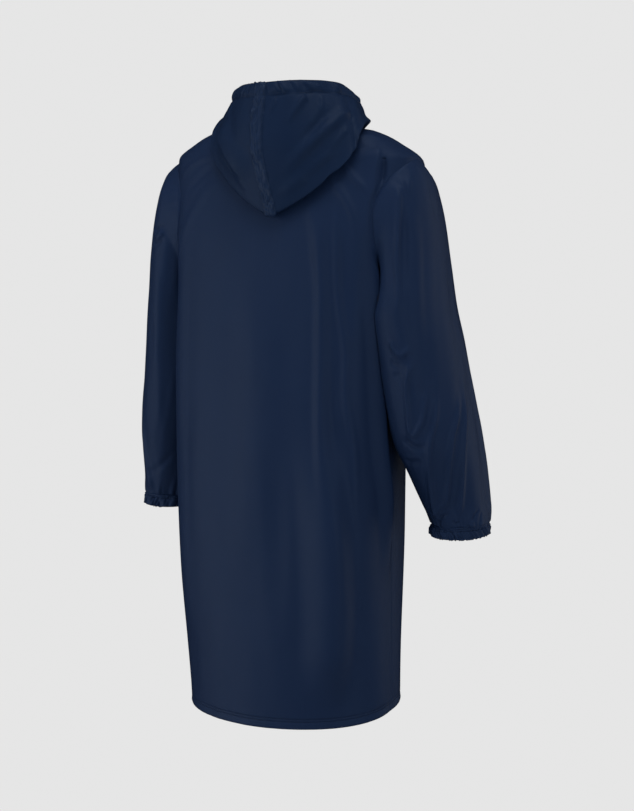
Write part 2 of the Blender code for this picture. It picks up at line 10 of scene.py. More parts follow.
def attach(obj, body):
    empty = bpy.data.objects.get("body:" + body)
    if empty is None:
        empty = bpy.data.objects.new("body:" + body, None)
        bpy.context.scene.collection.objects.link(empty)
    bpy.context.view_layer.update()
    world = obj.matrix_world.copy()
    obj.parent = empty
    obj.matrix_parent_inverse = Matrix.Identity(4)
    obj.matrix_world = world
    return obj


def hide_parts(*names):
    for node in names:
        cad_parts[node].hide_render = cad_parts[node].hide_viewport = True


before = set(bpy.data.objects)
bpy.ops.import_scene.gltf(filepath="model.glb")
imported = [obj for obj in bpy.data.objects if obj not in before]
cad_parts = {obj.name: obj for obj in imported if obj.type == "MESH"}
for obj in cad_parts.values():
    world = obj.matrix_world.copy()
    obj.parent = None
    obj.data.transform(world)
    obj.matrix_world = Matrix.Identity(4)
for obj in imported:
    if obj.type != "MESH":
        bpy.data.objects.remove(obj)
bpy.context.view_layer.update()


# ================================================================ back and fronts
# The back is one panel from neck to hem and each front is another, cut from tightly woven nylon
# with a light brushed backing. They are sewn at the shoulders and the sides with the edges turned
# in, and the hem is turned up twice and held by two rows of stitches.
SIDES = (("left", 1.0), ("right", -1.0))
WALL = 0.0016
HEM_WALL = 0.0028
LENGTH = 1.040
# Rows of the body: how far back, front and side are from its middle, where the side seam lies,
# how wide the back and the front fold out before they turn in to it, and how far the neck drops.
BODY_COLUMNS = ("level", "back", "front", "side", "seam", "fold", "front_fold", "drop")
BODY = (
    (-LENGTH, 0.150, 0.108, 0.205, 0.014, 0.212, 0.209, -0.010),
    (-0.850, 0.160, 0.112, 0.207, 0.022, 0.212, 0.209, -0.004),
    (-0.620, 0.163, 0.114, 0.210, 0.028, 0.217, 0.209, 0.000),
    (-0.480, 0.158, 0.116, 0.202, 0.022, 0.233, 0.206, 0.000),
    (-0.380, 0.150, 0.118, 0.192, 0.014, 0.245, 0.200, 0.002),
    (-0.285, 0.140, 0.120, 0.182, 0.006, 0.252, 0.198, 0.005),
    (-0.200, 0.128, 0.118, 0.200, 0.005, 0.254, 0.220, 0.020),
    (-0.130, 0.112, 0.108, 0.220, 0.005, 0.250, 0.236, 0.045),
    (-0.058, 0.090, 0.096, 0.242, 0.004, 0.242, 0.242, 0.068),
    (-0.030, 0.081, 0.093, 0.204, 0.003, 0.204, 0.204, 0.076),
    (-0.009, 0.075, 0.091, 0.155, 0.002, 0.155, 0.155, 0.082),
    (0.000, 0.072, 0.090, 0.095, 0.000, 0.095, 0.095, 0.085),
)
FLATNESS = 0.58
CORNER = 0.82
HEM_CORNER = 0.60
SIDE_SPREAD = 0.20
SIDE_BEGIN = 0.42
CROWDING = 4.0
HALVINGS = 40
SHOULDER_TILT = 0.010
HEM_TILT = -0.060
HEM_RISE = 0.120
SHOULDER_FADE = (-0.350, -0.100)
HEM_FADE = (-0.600, -1.000)
CORNER_FADE = (-0.700, -1.030)
ARMHOLE_TOP = -0.058
ARMHOLE_FOOT = -0.285
ARMHOLE_HALF_DEPTH = 0.080
ARM_MIDDLE = (ARMHOLE_TOP + ARMHOLE_FOOT) / 2
ARM_HALF_HEIGHT = (ARMHOLE_TOP - ARMHOLE_FOOT) / 2
FRONT_EDGE = 0.0055
EDGE_ROUND = 0.35
FOLDS_END = 0.85
FOLD_FADE = 0.14
# Long folds: place and lean across, top, foot, width and depth.
BACK_FOLDS = (
    (-0.190, -0.010, -0.160, -0.800, 0.060, 0.005),
    (0.185, -0.010, -0.200, -0.850, 0.080, 0.004),
)
FRONT_FOLDS = (
    (0.075, 0.010, -0.240, -1.000, 0.090, 0.008),
    (0.150, 0.000, -0.180, -0.900, 0.080, 0.007),
)
HEM_STEPS = (0, 0.0012, 0.003, 0.005, 0.0075, 0.010, 0.012, 0.0132, 0.0144, 0.0156, 0.0168, 0.018,
             0.0192, 0.0204, 0.022, 0.0245, 0.028, 0.033)
HEM_STITCHES = (0.0132, 0.018)
SKIRT_ROWS = 100
ARMHOLE_ROWS = 72
SHOULDER_ROWS = 14
BACK_COLUMNS = 104
FRONT_COLUMNS = 78
SHELL_COLOUR = (0.0132, 0.0284, 0.0770)
THREAD_COLOUR = (0.0130, 0.0270, 0.0660)
THREAD_WIDTH = 0.00055
STITCH_LENGTH = 0.0026
STITCH_PITCH = 0.0032
FRONT_STITCH = 0.0075
PAST_ANY_END = 100.0
STITCH_SUNK = 0.00005
SHEEN_COLOUR = (0.62, 0.80, 1.0, 1.0)
BACKING_COLOUR = (0.010, 0.016, 0.034)
THREAD_PITCH = 0.0009
STREAK = 0.00012
STREAK_SCALE = (55.0, 9.0)
FINE_SCALE = 420.0
PATCH_SCALE = 9.0
LIGHTER = 1.40
LATTICE = 128
CREASE_STEP = 0.006
HEM_TURNING = 0.0205
# Waves of the cloth, as waves() reads them.
HEM_PUCKERS = ((0.00085, 0.0085, 0.030, 7, 0), (0.00051, 0.019, 0.040, 0, 20))
HEM_MIDDLE = 0.0155
HEM_REACH = 0.0095
HEM_GROOVE = 0.0016
HEM_ROLL = 0.0009
FRONT_GROOVE = 0.0004
GROOVE_WIDTH = 0.0012
SHELL_WAVES = ((0.0007, 0.050, 0.240, 0, 40), (0.0003, 0.022, 0.110, 0, 60))
SEAM_EASE = 0.012
NECK_EASE = 0.020


def smooth(share):
    """From 0 to 1 with no corner at either end."""
    share = np.clip(share, 0.0, 1.0)
    return share * share * (3 - 2 * share)


def fade(z, ends):
    """0 at the first height and before it, 1 at the second and past it."""
    return smooth((z - ends[0]) / (ends[1] - ends[0]))


def curve(x, y, at):
    """y at any x, on a curve through the given rows that never overshoots them."""
    step = np.diff(x)
    rise = np.diff(y, axis=0) / step.reshape((-1,) + (1,) * (y.ndim - 1))
    turn = rise[:-1] * rise[1:]
    total = rise[:-1] + rise[1:]
    inner = np.where(turn > 0, 2 * turn / np.where(turn > 0, total, 1.0), 0.0)
    slope = np.concatenate((rise[:1], inner, rise[-1:]))
    i = np.clip(np.searchsorted(x, at) - 1, 0, len(step) - 1)
    h = step[i]
    t = (at - x[i]) / h
    if y.ndim > 1:
        h = h.reshape(h.shape + (1,) * (y.ndim - 1))
        t = t.reshape(t.shape + (1,) * (y.ndim - 1))
    return ((1 + 2 * t) * (1 - t) ** 2 * y[i] + t * (1 - t) ** 2 * h * slope[i]
            + t * t * (3 - 2 * t) * y[i + 1] + t * t * (t - 1) * h * slope[i + 1])


def unit(vectors):
    return vectors / np.maximum(np.linalg.norm(vectors, axis=-1, keepdims=True), 1e-12)


def bell(off, width):
    return np.exp(-(off / width) ** 2)


def walk(line):
    """How far along a line each of its points lies."""
    return np.concatenate(([0.0], np.cumsum(np.linalg.norm(np.diff(line, axis=0), axis=1))))


def through(knots, shares):
    """Points on a smooth curve through the knots. shares(b, c) gives how far along the span from b
    to c they lie."""
    knots = [2 * knots[0] - knots[1], *knots, 2 * knots[-1] - knots[-2]]
    line = [0.5 * (2 * b + (c - a) * t + (2 * a - 5 * b + 4 * c - d) * t * t
                   + (3 * b - a - 3 * c + d) * t ** 3)
            for a, b, c, d in zip(knots, knots[1:], knots[2:], knots[3:]) for t in shares(b, c)]
    return np.array(line + [knots[-2]])


def grid_quads(grid):
    """The four corners of each square of a grid."""
    corners = (grid[:-1, :-1], grid[:-1, 1:], grid[1:, 1:], grid[1:, :-1])
    return np.stack(corners, -1).reshape(-1, 4)


def bezier(points, t):
    """A point on the curve that the control points pull towards themselves."""
    while len(points) > 1:
        points = [a + (b - a) * t for a, b in zip(points, points[1:])]
    return points[0]


def body_plan(level, back):
    """Control points of a row seen from above, from the centre to the side, as x and y."""
    table = np.array(BODY)

    def value(name):
        return curve(table[:, 0], table[:, BODY_COLUMNS.index(name)], level)

    out = value("fold" if back else "front_fold")
    side = value("side")
    seam = value("seam")
    centre = value("back") if back else -value("front")
    roundness = CORNER + (HEM_CORNER - CORNER) * fade(level, CORNER_FADE)
    corner = seam + roundness * (centre - seam)
    start = np.full_like(out, 0.0 if back else FRONT_EDGE)
    xs = [start, FLATNESS * out, out, side + SIDE_SPREAD * (out - side), side]
    ys = [centre, centre, corner, seam + SIDE_BEGIN * (corner - seam), seam]
    return xs, ys


def row_share(level, back):
    """How much of a row belongs to the panel: the rest lies inside the armhole."""
    rise = (level - ARM_MIDDLE) / ARM_HALF_HEIGHT
    deep = ARMHOLE_HALF_DEPTH * np.sqrt(np.clip(1 - rise * rise, 0.0, 1.0))
    xs, ys = body_plan(level, back)
    low = np.zeros_like(level)
    high = np.ones_like(level)
    for _ in range(HALVINGS):
        middle = (low + high) / 2
        outside = np.abs(bezier(ys, middle) - ys[-1]) > deep
        low = np.where(outside, middle, low)
        high = np.where(outside, high, middle)
    return low


def fold_height(table, across, level):
    """How far the long folds of a table stand out. Each runs straight from a top to a foot."""
    high = 0.0
    for place, lean, top, foot, width, depth in table:
        off = across - place - lean * (level - top) / (foot - top)
        ridge = np.where(np.abs(off) < width / 2, np.cos(np.pi * off / width) ** 2, 0.0)
        ends = smooth((level - foot) / FOLD_FADE + 0.5) * smooth((top - level) / FOLD_FADE + 0.5)
        high = high + depth * ridge * ends
    return high


def tilted(points):
    """The shoulders and the hem aren't quite level."""
    x, y, z = np.moveaxis(points, -1, 0)
    low = fade(z, HEM_FADE)
    slope = SHOULDER_TILT * fade(z, SHOULDER_FADE) + HEM_TILT * low
    return np.stack((x, y, z + slope * x - HEM_RISE * low * y), -1)


def body_points(levels, places, side, back):
    """Rows of points at the levels. places run from the centre, 0, to the seam, 1, on the side."""
    level = np.asarray(levels, float)[:, None]
    t = np.asarray(places, float)[None, :]
    share = row_share(level, back)
    crowding = np.minimum(CROWDING, 0.9 * share / np.maximum(1 - share, 0.01))
    along = t * (1 - (1 - share) * t ** crowding)
    xs, ys = body_plan(level, back)
    x = bezier(xs, along)
    y = bezier(ys, along)
    ease = np.sqrt(np.clip(np.sin(np.pi * np.minimum(along / FOLDS_END, 1.0)), 0.0, 1.0))
    z = level + 0 * along
    if back:
        y = y + ease * fold_height(BACK_FOLDS, side * x, level)
    else:
        y = y - ease * fold_height(FRONT_FOLDS, x, level)
        drop = curve(np.array(BODY)[:, 0], np.array(BODY)[:, -1], level)
        z = z - drop * np.cos(np.pi * along / 2) ** 2
    return tilted(np.stack((side * x, y, z), -1))


def noise(u, v, seed):
    """Smooth noise from -1 to 1, one bump to a unit, the same each time for one seed."""
    lattice = np.random.default_rng(seed).uniform(-1, 1, (LATTICE, LATTICE))
    i, j = np.floor(u).astype(int), np.floor(v).astype(int)
    a, b = smooth(u - i), smooth(v - j)
    i, j, k, m = i % LATTICE, j % LATTICE, (i + 1) % LATTICE, (j + 1) % LATTICE
    low = lattice[i, j] * (1 - a) + lattice[k, j] * a
    high = lattice[i, m] * (1 - a) + lattice[k, m] * a
    return low * (1 - b) + high * b


def waves(u, v, table, seed):
    """Uneven cloth. Each row of the table is a height, the lengths of a wave across and along,
    how many lengths it is moved along, and what is added to the seed."""
    return sum(high * noise(u / wide, v / long + moved, seed + more)
               for high, wide, long, moved, more in table)


class Form:
    """A cloth surface as rows of points, with what its creases and puckers add to it."""

    def __init__(self, rows, ring=False, flip=False):
        self.rows, self.ring, self.flip = rows, ring, flip
        self.high = np.zeros(rows.shape[:2])
        self.turn_out()

    def turn_out(self):
        """The way out at each point, and how far each lies along and across the cloth."""
        rows = self.rows
        if self.ring:
            across = np.roll(rows, -1, 1) - np.roll(rows, 1, 1)
        else:
            across = np.gradient(rows, axis=1)
        self.out = unit(np.cross(across, np.gradient(rows, axis=0)) * (-1 if self.flip else 1))
        closed = np.concatenate((rows, rows[:, :1]), 1) if self.ring else rows
        steps = np.linalg.norm(np.diff(closed, axis=1), axis=-1)
        self.u = np.concatenate((np.zeros((len(rows), 1)), np.cumsum(steps, 1)), 1)
        self.u -= self.u[:, self.u.shape[1] // 2][:, None]
        steps = np.linalg.norm(np.diff(rows, axis=0), axis=-1)
        self.v = np.concatenate((np.zeros((1, rows.shape[1])), np.cumsum(steps, 0)), 0)

    def settle(self):
        self.rows = self.rows + self.out * self.high[..., None]
        self.high = np.zeros(self.rows.shape[:2])
        self.turn_out()

    def crease(self, height, left, right, sharp, start, end, *points):
        """A ridge, or a trough where height is under 0, that runs through the points. left and
        right are its reach on each side as it runs, seen from outside, sharp is how sharp its
        top is, and start and end are the shares over which its ends die away."""
        line = through(np.array(points, float), lambda b, c: np.arange(
            0, 1, CREASE_STEP / max(np.linalg.norm(c - b), CREASE_STEP)))
        flat = self.rows.reshape(-1, 3)
        out = self.out.reshape(-1, 3)
        reach = max(left, right)
        near = np.flatnonzero(((flat > line.min(0) - reach - 0.03)
                               & (flat < line.max(0) + reach + 0.03)).all(1))
        if not len(near):
            return
        found = np.array([near[((flat[near] - p) ** 2).sum(1).argmin()] for p in line])
        line = line - ((line - flat[found]) * out[found]).sum(1)[:, None] * out[found]
        walked = walk(line)
        best = np.full(len(near), 1e9)
        side = np.zeros(len(near))
        share = np.zeros(len(near))
        for k in range(len(line) - 1):
            way = line[k + 1] - line[k]
            size = np.linalg.norm(way)
            if size < 1e-9:
                continue
            away = flat[near] - line[k]
            t = np.clip(away @ way / size ** 2, 0, 1)
            off = away - t[:, None] * way
            gap = np.linalg.norm(off, axis=1)
            closer = gap < best
            best = np.where(closer, gap, best)
            side = np.where(closer, np.sign((np.cross(way, out[near]) * off).sum(1)), side)
            share = np.where(closer, (walked[k] + t * size) / walked[-1], share)
        x = np.clip(best / np.where(side > 0, right, left), 0, 1)
        profile = (1 - sharp) * np.cos(np.pi * x / 2) ** 2 + sharp * (1 - x) ** 2
        profile *= smooth(share / max(start, 1e-6)) * smooth((1 - share) / max(end, 1e-6))
        self.high.reshape(-1)[near] += height * profile


def shell(name, form, wall, finishes):
    """A closed wall behind a form, its edges turned in and rounded. wall may vary by point."""
    rows, out = form.rows, form.out
    across, down = rows.shape[1], rows.shape[0]
    inner = rows - out * (np.zeros(rows.shape[:2]) + wall)[..., None]
    places = np.concatenate((rows.reshape(-1, 3), inner.reshape(-1, 3)))
    behind = across * down
    index = np.arange(behind).reshape(down, across)
    u, v = form.u, form.v
    if form.ring:
        index = np.concatenate((index, index[:, :1]), 1)
        v = np.concatenate((v, v[:, :1]), 1)
    quads = grid_quads(index)
    spots = np.stack((grid_quads(u[:, :index.shape[1]]), grid_quads(v)), -1)
    faces, uvs = [quads, quads[:, ::-1] + behind], [spots, spots[:, ::-1]]
    marks = [np.zeros(len(quads), int), np.ones(len(quads), int)]
    borders = [(index[0], u[0], v[0], 1, rows[0] - rows[1]),
               (index[-1], u[-1], v[-1], -1, rows[-1] - rows[-2])]
    if not form.ring:
        borders += [(index[:, 0], u[:, 0], v[:, 0], -1, rows[:, 0] - rows[:, 1]),
                    (index[:, -1], u[:, -1], v[:, -1], 1, rows[:, -1] - rows[:, -2])]
    middles = []
    corner = {}
    for ids, bu, bv, sense, away in borders:
        away = unit(away)
        if form.ring:
            away = np.concatenate((away, away[:1]))
        mid = np.empty(len(ids), int)
        for k, vertex in enumerate(ids):
            if vertex not in corner:
                corner[vertex] = 2 * behind + len(middles)
                gap = places[vertex] - places[vertex + behind]
                middles.append((places[vertex] + places[vertex + behind]) / 2
                               + away[k] * np.linalg.norm(gap) * EDGE_ROUND)
            mid[k] = corner[vertex]
        for one, other in ((ids, mid), (mid, ids + behind)):
            band = np.stack((one[:-1], other[:-1], other[1:], one[1:]), -1)
            uv = np.stack([np.stack((b[:-1], b[:-1], b[1:], b[1:]), -1) for b in (bu, bv)], -1)
            faces.append(band[:, ::sense])
            uvs.append(uv[:, ::sense])
            marks.append(np.zeros(len(band), int))
    places = np.concatenate((places, np.array(middles)))
    faces, uvs, marks = np.concatenate(faces), np.concatenate(uvs), np.concatenate(marks)
    if form.flip:
        faces, uvs = faces[:, ::-1], uvs[:, ::-1]
    mesh = bpy.data.meshes.new(name)
    mesh.vertices.add(len(places))
    mesh.vertices.foreach_set("co", places.astype(np.float32).ravel())
    mesh.loops.add(4 * len(faces))
    mesh.loops.foreach_set("vertex_index", faces.astype(np.int32).ravel())
    mesh.polygons.add(len(faces))
    mesh.polygons.foreach_set("loop_start", np.arange(0, 4 * len(faces), 4, dtype=np.int32))
    mesh.polygons.foreach_set("material_index", marks.astype(np.int32))
    mesh.update(calc_edges=True)
    layer = mesh.uv_layers.new(name="cloth")
    layer.data.foreach_set("uv", uvs.astype(np.float32).ravel())
    mesh.validate()
    mesh.shade_smooth()
    for finish in finishes:
        mesh.materials.append(finish.material)
    return stand(name, mesh)


def stand(name, data):
    """A new object in the scene."""
    made = bpy.data.objects.new(name, data)
    bpy.context.scene.collection.objects.link(made)
    return made


def add_node(tree, kind, settings, inputs):
    """A new node, each of its inputs fed by a socket or held at a number."""
    made = tree.nodes.new(kind)
    for key, value in settings.items():
        setattr(made, key, value)
    for key, value in inputs.items():
        if hasattr(value, "is_output"):
            tree.links.new(value, made.inputs[key])
        else:
            made.inputs[key].default_value = value
    return made


class Value:
    """A number that a finish works out over the surface. Arithmetic on it adds the nodes."""

    def __init__(self, finish, socket):
        self.finish, self.socket = finish, socket

    def with_other(self, operation, other):
        return self.finish.node("Math", {"operation": operation}, {0: self, 1: other})

    def __add__(self, other):
        return self.with_other("ADD", other)

    def __mul__(self, other):
        return self.with_other("MULTIPLY", other)

    __radd__ = __add__
    __rmul__ = __mul__


class Finish:
    """A material round one shader. fixed holds what is the same all over it."""

    def __init__(self, name, colour, roughness, **fixed):
        self.material = bpy.data.materials.new(name)
        self.material.use_nodes = True
        self.tree = self.material.node_tree
        self.shader = self.tree.nodes["Principled BSDF"]
        self.colour = (*colour, 1.0)
        self.put(self.shader.inputs["Base Color"], self.colour)
        self.put(self.shader.inputs["Roughness"], roughness)
        for key, value in fixed.items():
            self.put(self.shader.inputs[key.replace("_", " ")], value)

    def put(self, socket, value):
        if isinstance(value, Value):
            self.tree.links.new(value.socket, socket)
        else:
            socket.default_value = value

    def node(self, kind, settings, values, output=0):
        inputs = {key: getattr(value, "socket", value) for key, value in values.items()}
        made = add_node(self.tree, "ShaderNode" + kind, settings, inputs)
        return Value(self, made.outputs[output])

    def tint(self, amount, other):
        """The finish's colour going over to another as the amount goes from 0 to 1."""
        ends = {0: amount, 6: self.colour, 7: (*other, 1.0)}
        mixed = self.node("Mix", {"data_type": "RGBA"}, ends, 2)
        self.put(self.shader.inputs["Base Color"], mixed)

    def relief(self, height, distance, below=None):
        """Fine unevenness, on top of what lies below it."""
        values = {"Height": height, "Distance": distance}
        if below is not None:
            values["Normal"] = below
        bumped = self.node("Bump", {}, values)
        self.put(self.shader.inputs["Normal"], bumped)
        return bumped


def woven(name, colour, roughness, pitch, streak, **fixed):
    """Cloth of crossing threads, pitch apart, whose surface waves a little along its length."""
    cloth = Finish(name, colour, roughness, **fixed)
    place = cloth.node("UVMap", {"uv_map": "cloth"}, {})
    u = cloth.node("SeparateXYZ", {}, {0: place}, 0)
    v = cloth.node("SeparateXYZ", {}, {0: place}, 1)
    turn = 2 * math.pi / pitch
    warp = cloth.node("Math", {"operation": "SINE"}, {0: u * turn})
    weft = cloth.node("Math", {"operation": "SINE"}, {0: v * turn})
    long_way = cloth.node("CombineXYZ", {}, {0: u * STREAK_SCALE[0], 1: v * STREAK_SCALE[1]})
    waves = cloth.node("TexNoise", {}, {"Vector": long_way, "Scale": 1.0, "Detail": 3.0})
    fine = cloth.node("TexNoise", {}, {"Vector": place, "Scale": FINE_SCALE, "Detail": 2.0})
    patch = cloth.node("TexNoise", {}, {"Vector": place, "Scale": PATCH_SCALE, "Detail": 2.0})
    cloth.tint(fine * 0.60 + patch * 0.30, [c * LIGHTER for c in colour])
    cloth.put(cloth.shader.inputs["Roughness"], roughness - 0.05 + patch * 0.06 + fine * 0.04)
    bumped = cloth.relief(waves, streak)
    bumped = cloth.relief(fine, 0.00014, below=bumped)
    cloth.relief(warp * weft, pitch * 0.04, below=bumped)
    return cloth


SHELL = woven("shell_nylon", SHELL_COLOUR, 0.38, THREAD_PITCH, STREAK, Specular_IOR_Level=0.12,
              Specular_Tint=SHEEN_COLOUR)
BACKING = woven("brushed_backing", BACKING_COLOUR, 0.85, 0.0016, 0.0002, Specular_IOR_Level=0.25)


def dress(piece, node):
    """What every sewn cloth piece says of itself."""
    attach(piece, "coat")
    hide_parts(node)


def line_in(form, away, down=False, last=False, lift=0.0):
    """Points a set way in from an edge of a form, and the way out at each. The edge is the first
    column, or the first row where down is set, or the last one of them where last is set."""
    measure = form.v if down else form.u[:, :form.rows.shape[1]]
    rows, out = form.rows, form.out
    if down:
        measure, rows, out = measure.T, rows.swapaxes(0, 1), out.swapaxes(0, 1)
    if last:
        measure, rows, out = -measure[:, ::-1], rows[:, ::-1], out[:, ::-1]
    points, ups = [], []
    for along, line, up in zip(measure - measure[:, :1], rows, out):
        points.append([np.interp(away, along, line[:, k]) for k in range(3)])
        ups.append([np.interp(away, along, up[:, k]) for k in range(3)])
    return np.array(points) + lift * np.array(ups), np.array(ups)


def repeated(name, lines, shape, pitch, finish, closed=False, start=0.0, **sizes):
    """Copies of one small shape at even steps along lines, each turned along its line. A line is
    its points and the way out at each. shape adds the copied shape to the tree from its sizes."""
    points, ups, edges = [], [], []
    for line, up in lines:
        first = len(points)
        points.extend(line.tolist())
        ups.extend(up.tolist())
        edges.extend((k, k + 1) for k in range(first, len(points) - 1))
        if closed:
            edges.append((len(points) - 1, first))
    mesh = bpy.data.meshes.new(name)
    mesh.from_pydata(points, edges, [])
    way_up = mesh.attributes.new("up", "FLOAT_VECTOR", "POINT")
    way_up.data.foreach_set("vector", np.array(ups).ravel())
    path = stand(name, mesh)
    tree = bpy.data.node_groups.new(name, "GeometryNodeTree")
    tree.interface.new_socket("Lines", in_out="INPUT", socket_type="NodeSocketGeometry")
    tree.interface.new_socket("Result", in_out="OUTPUT", socket_type="NodeSocketGeometry")
    named = {"Pitch": pitch, "Start": start, **{key.title(): size for key, size in sizes.items()}}
    sockets = {key: tree.interface.new_socket(key, in_out="INPUT", socket_type="NodeSocketFloat")
               for key in named}
    given = tree.nodes.new("NodeGroupInput")

    def add(kind, settings=(), **inputs):
        inputs = {key.replace("_", " "): value for key, value in inputs.items()}
        return add_node(tree, kind, dict(settings), inputs)

    curves = add("GeometryNodeMeshToCurve", Mesh=given.outputs["Lines"])
    trimmed = add("GeometryNodeTrimCurve", {"mode": "LENGTH"}, Curve=curves.outputs["Curve"])
    tree.links.new(given.outputs["Start"], trimmed.inputs[4])
    trimmed.inputs[5].default_value = PAST_ANY_END
    walked = (curves if closed else trimmed).outputs["Curve"]
    stepped = add("GeometryNodeResampleCurve", {"mode": "LENGTH"}, Curve=walked,
                  Length=given.outputs["Pitch"])
    tangent = add("GeometryNodeInputTangent")
    way_out = add("GeometryNodeInputNamedAttribute", {"data_type": "FLOAT_VECTOR"}, Name="up")
    turned = add("FunctionNodeAxesToRotation", {"primary_axis": "X", "secondary_axis": "Z"})
    tree.links.new(tangent.outputs["Tangent"], turned.inputs[0])
    tree.links.new(way_out.outputs["Attribute"], turned.inputs[1])
    copies = add("GeometryNodeInstanceOnPoints", Points=stepped.outputs["Curve"],
                 Instance=shape(add, given.outputs), Rotation=turned.outputs["Rotation"])
    real = add("GeometryNodeRealizeInstances", Geometry=copies.outputs["Instances"])
    coated = add("GeometryNodeSetMaterial", Geometry=real.outputs["Geometry"],
                 Material=finish.material)
    result = add("NodeGroupOutput")
    tree.links.new(coated.outputs["Geometry"], result.inputs["Result"])
    steps = path.modifiers.new("repeat", "NODES")
    steps.node_group = tree
    for key, value in named.items():
        steps[sockets[key].identifier] = value
    bpy.context.view_layer.update()
    worked_out = path.evaluated_get(bpy.context.evaluated_depsgraph_get())
    made = bpy.data.meshes.new_from_object(worked_out)
    path.modifiers.clear()
    path.data = made
    made.name = name
    return path


def thread_shape(add, given):
    """One stitch as it lies on the cloth: a short rounded length of thread."""
    ball = add("GeometryNodeMeshUVSphere", Segments=6, Rings=5, Radius=0.5)
    size = add("ShaderNodeCombineXYZ", X=given["Length"], Y=given["Width"], Z=given["Height"])
    drawn = add("GeometryNodeTransform", Geometry=ball.outputs["Mesh"],
                Scale=size.outputs["Vector"])
    return add("GeometryNodeSetShadeSmooth", Geometry=drawn.outputs["Geometry"]).outputs["Geometry"]


def sew(name, lines, closed=False):
    """Rows of lockstitch along lines on the cloth."""
    stitches = repeated(name, lines, thread_shape, STITCH_PITCH, THREAD, closed,
                        length=STITCH_LENGTH, width=THREAD_WIDTH, height=THREAD_WIDTH * 0.8)
    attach(stitches, "coat")


def spun(name, colour, roughness, **fixed):
    """Twisted sewing thread."""
    thread = Finish(name, colour, roughness, **fixed)
    place = thread.node("TexCoord", {}, {}, 3)
    twist = thread.node("TexNoise", {}, {"Vector": place, "Scale": 900.0, "Detail": 1.0})
    batch = thread.node("TexNoise", {}, {"Vector": place, "Scale": 60.0, "Detail": 1.0})
    thread.tint(twist * 0.5 + batch * 0.3, [c * 1.8 for c in colour])
    thread.put(thread.shader.inputs["Roughness"], roughness - 0.08 + twist * 0.16)
    thread.relief(twist, 0.0001)
    return thread


THREAD = spun("sewing_thread", THREAD_COLOUR, 0.50, Specular_IOR_Level=0.3)


levels = np.concatenate((
    -LENGTH + np.array(HEM_STEPS),
    np.linspace(-LENGTH + 0.038, ARMHOLE_FOOT, SKIRT_ROWS),
    ARM_MIDDLE - ARM_HALF_HEIGHT * np.cos(np.linspace(0, np.pi, ARMHOLE_ROWS + 1)[1:]),
    np.linspace(ARMHOLE_TOP, 0.0, SHOULDER_ROWS + 1)[1:],
))
FOOT_ROW = len(HEM_STEPS) + SKIRT_ROWS - 1
TOP_ROW = FOOT_ROW + ARMHOLE_ROWS
halves = np.linspace(1, 0, BACK_COLUMNS + 1)
back = Form(np.concatenate((body_points(levels, halves, 1.0, True),
                            body_points(levels, halves[::-1][1:], -1.0, True)), 1))
across = np.linspace(0, 1, FRONT_COLUMNS + 1)
fronts = {name: Form(body_points(levels, across, side, False), flip=side < 0)
          for name, side in SIDES}

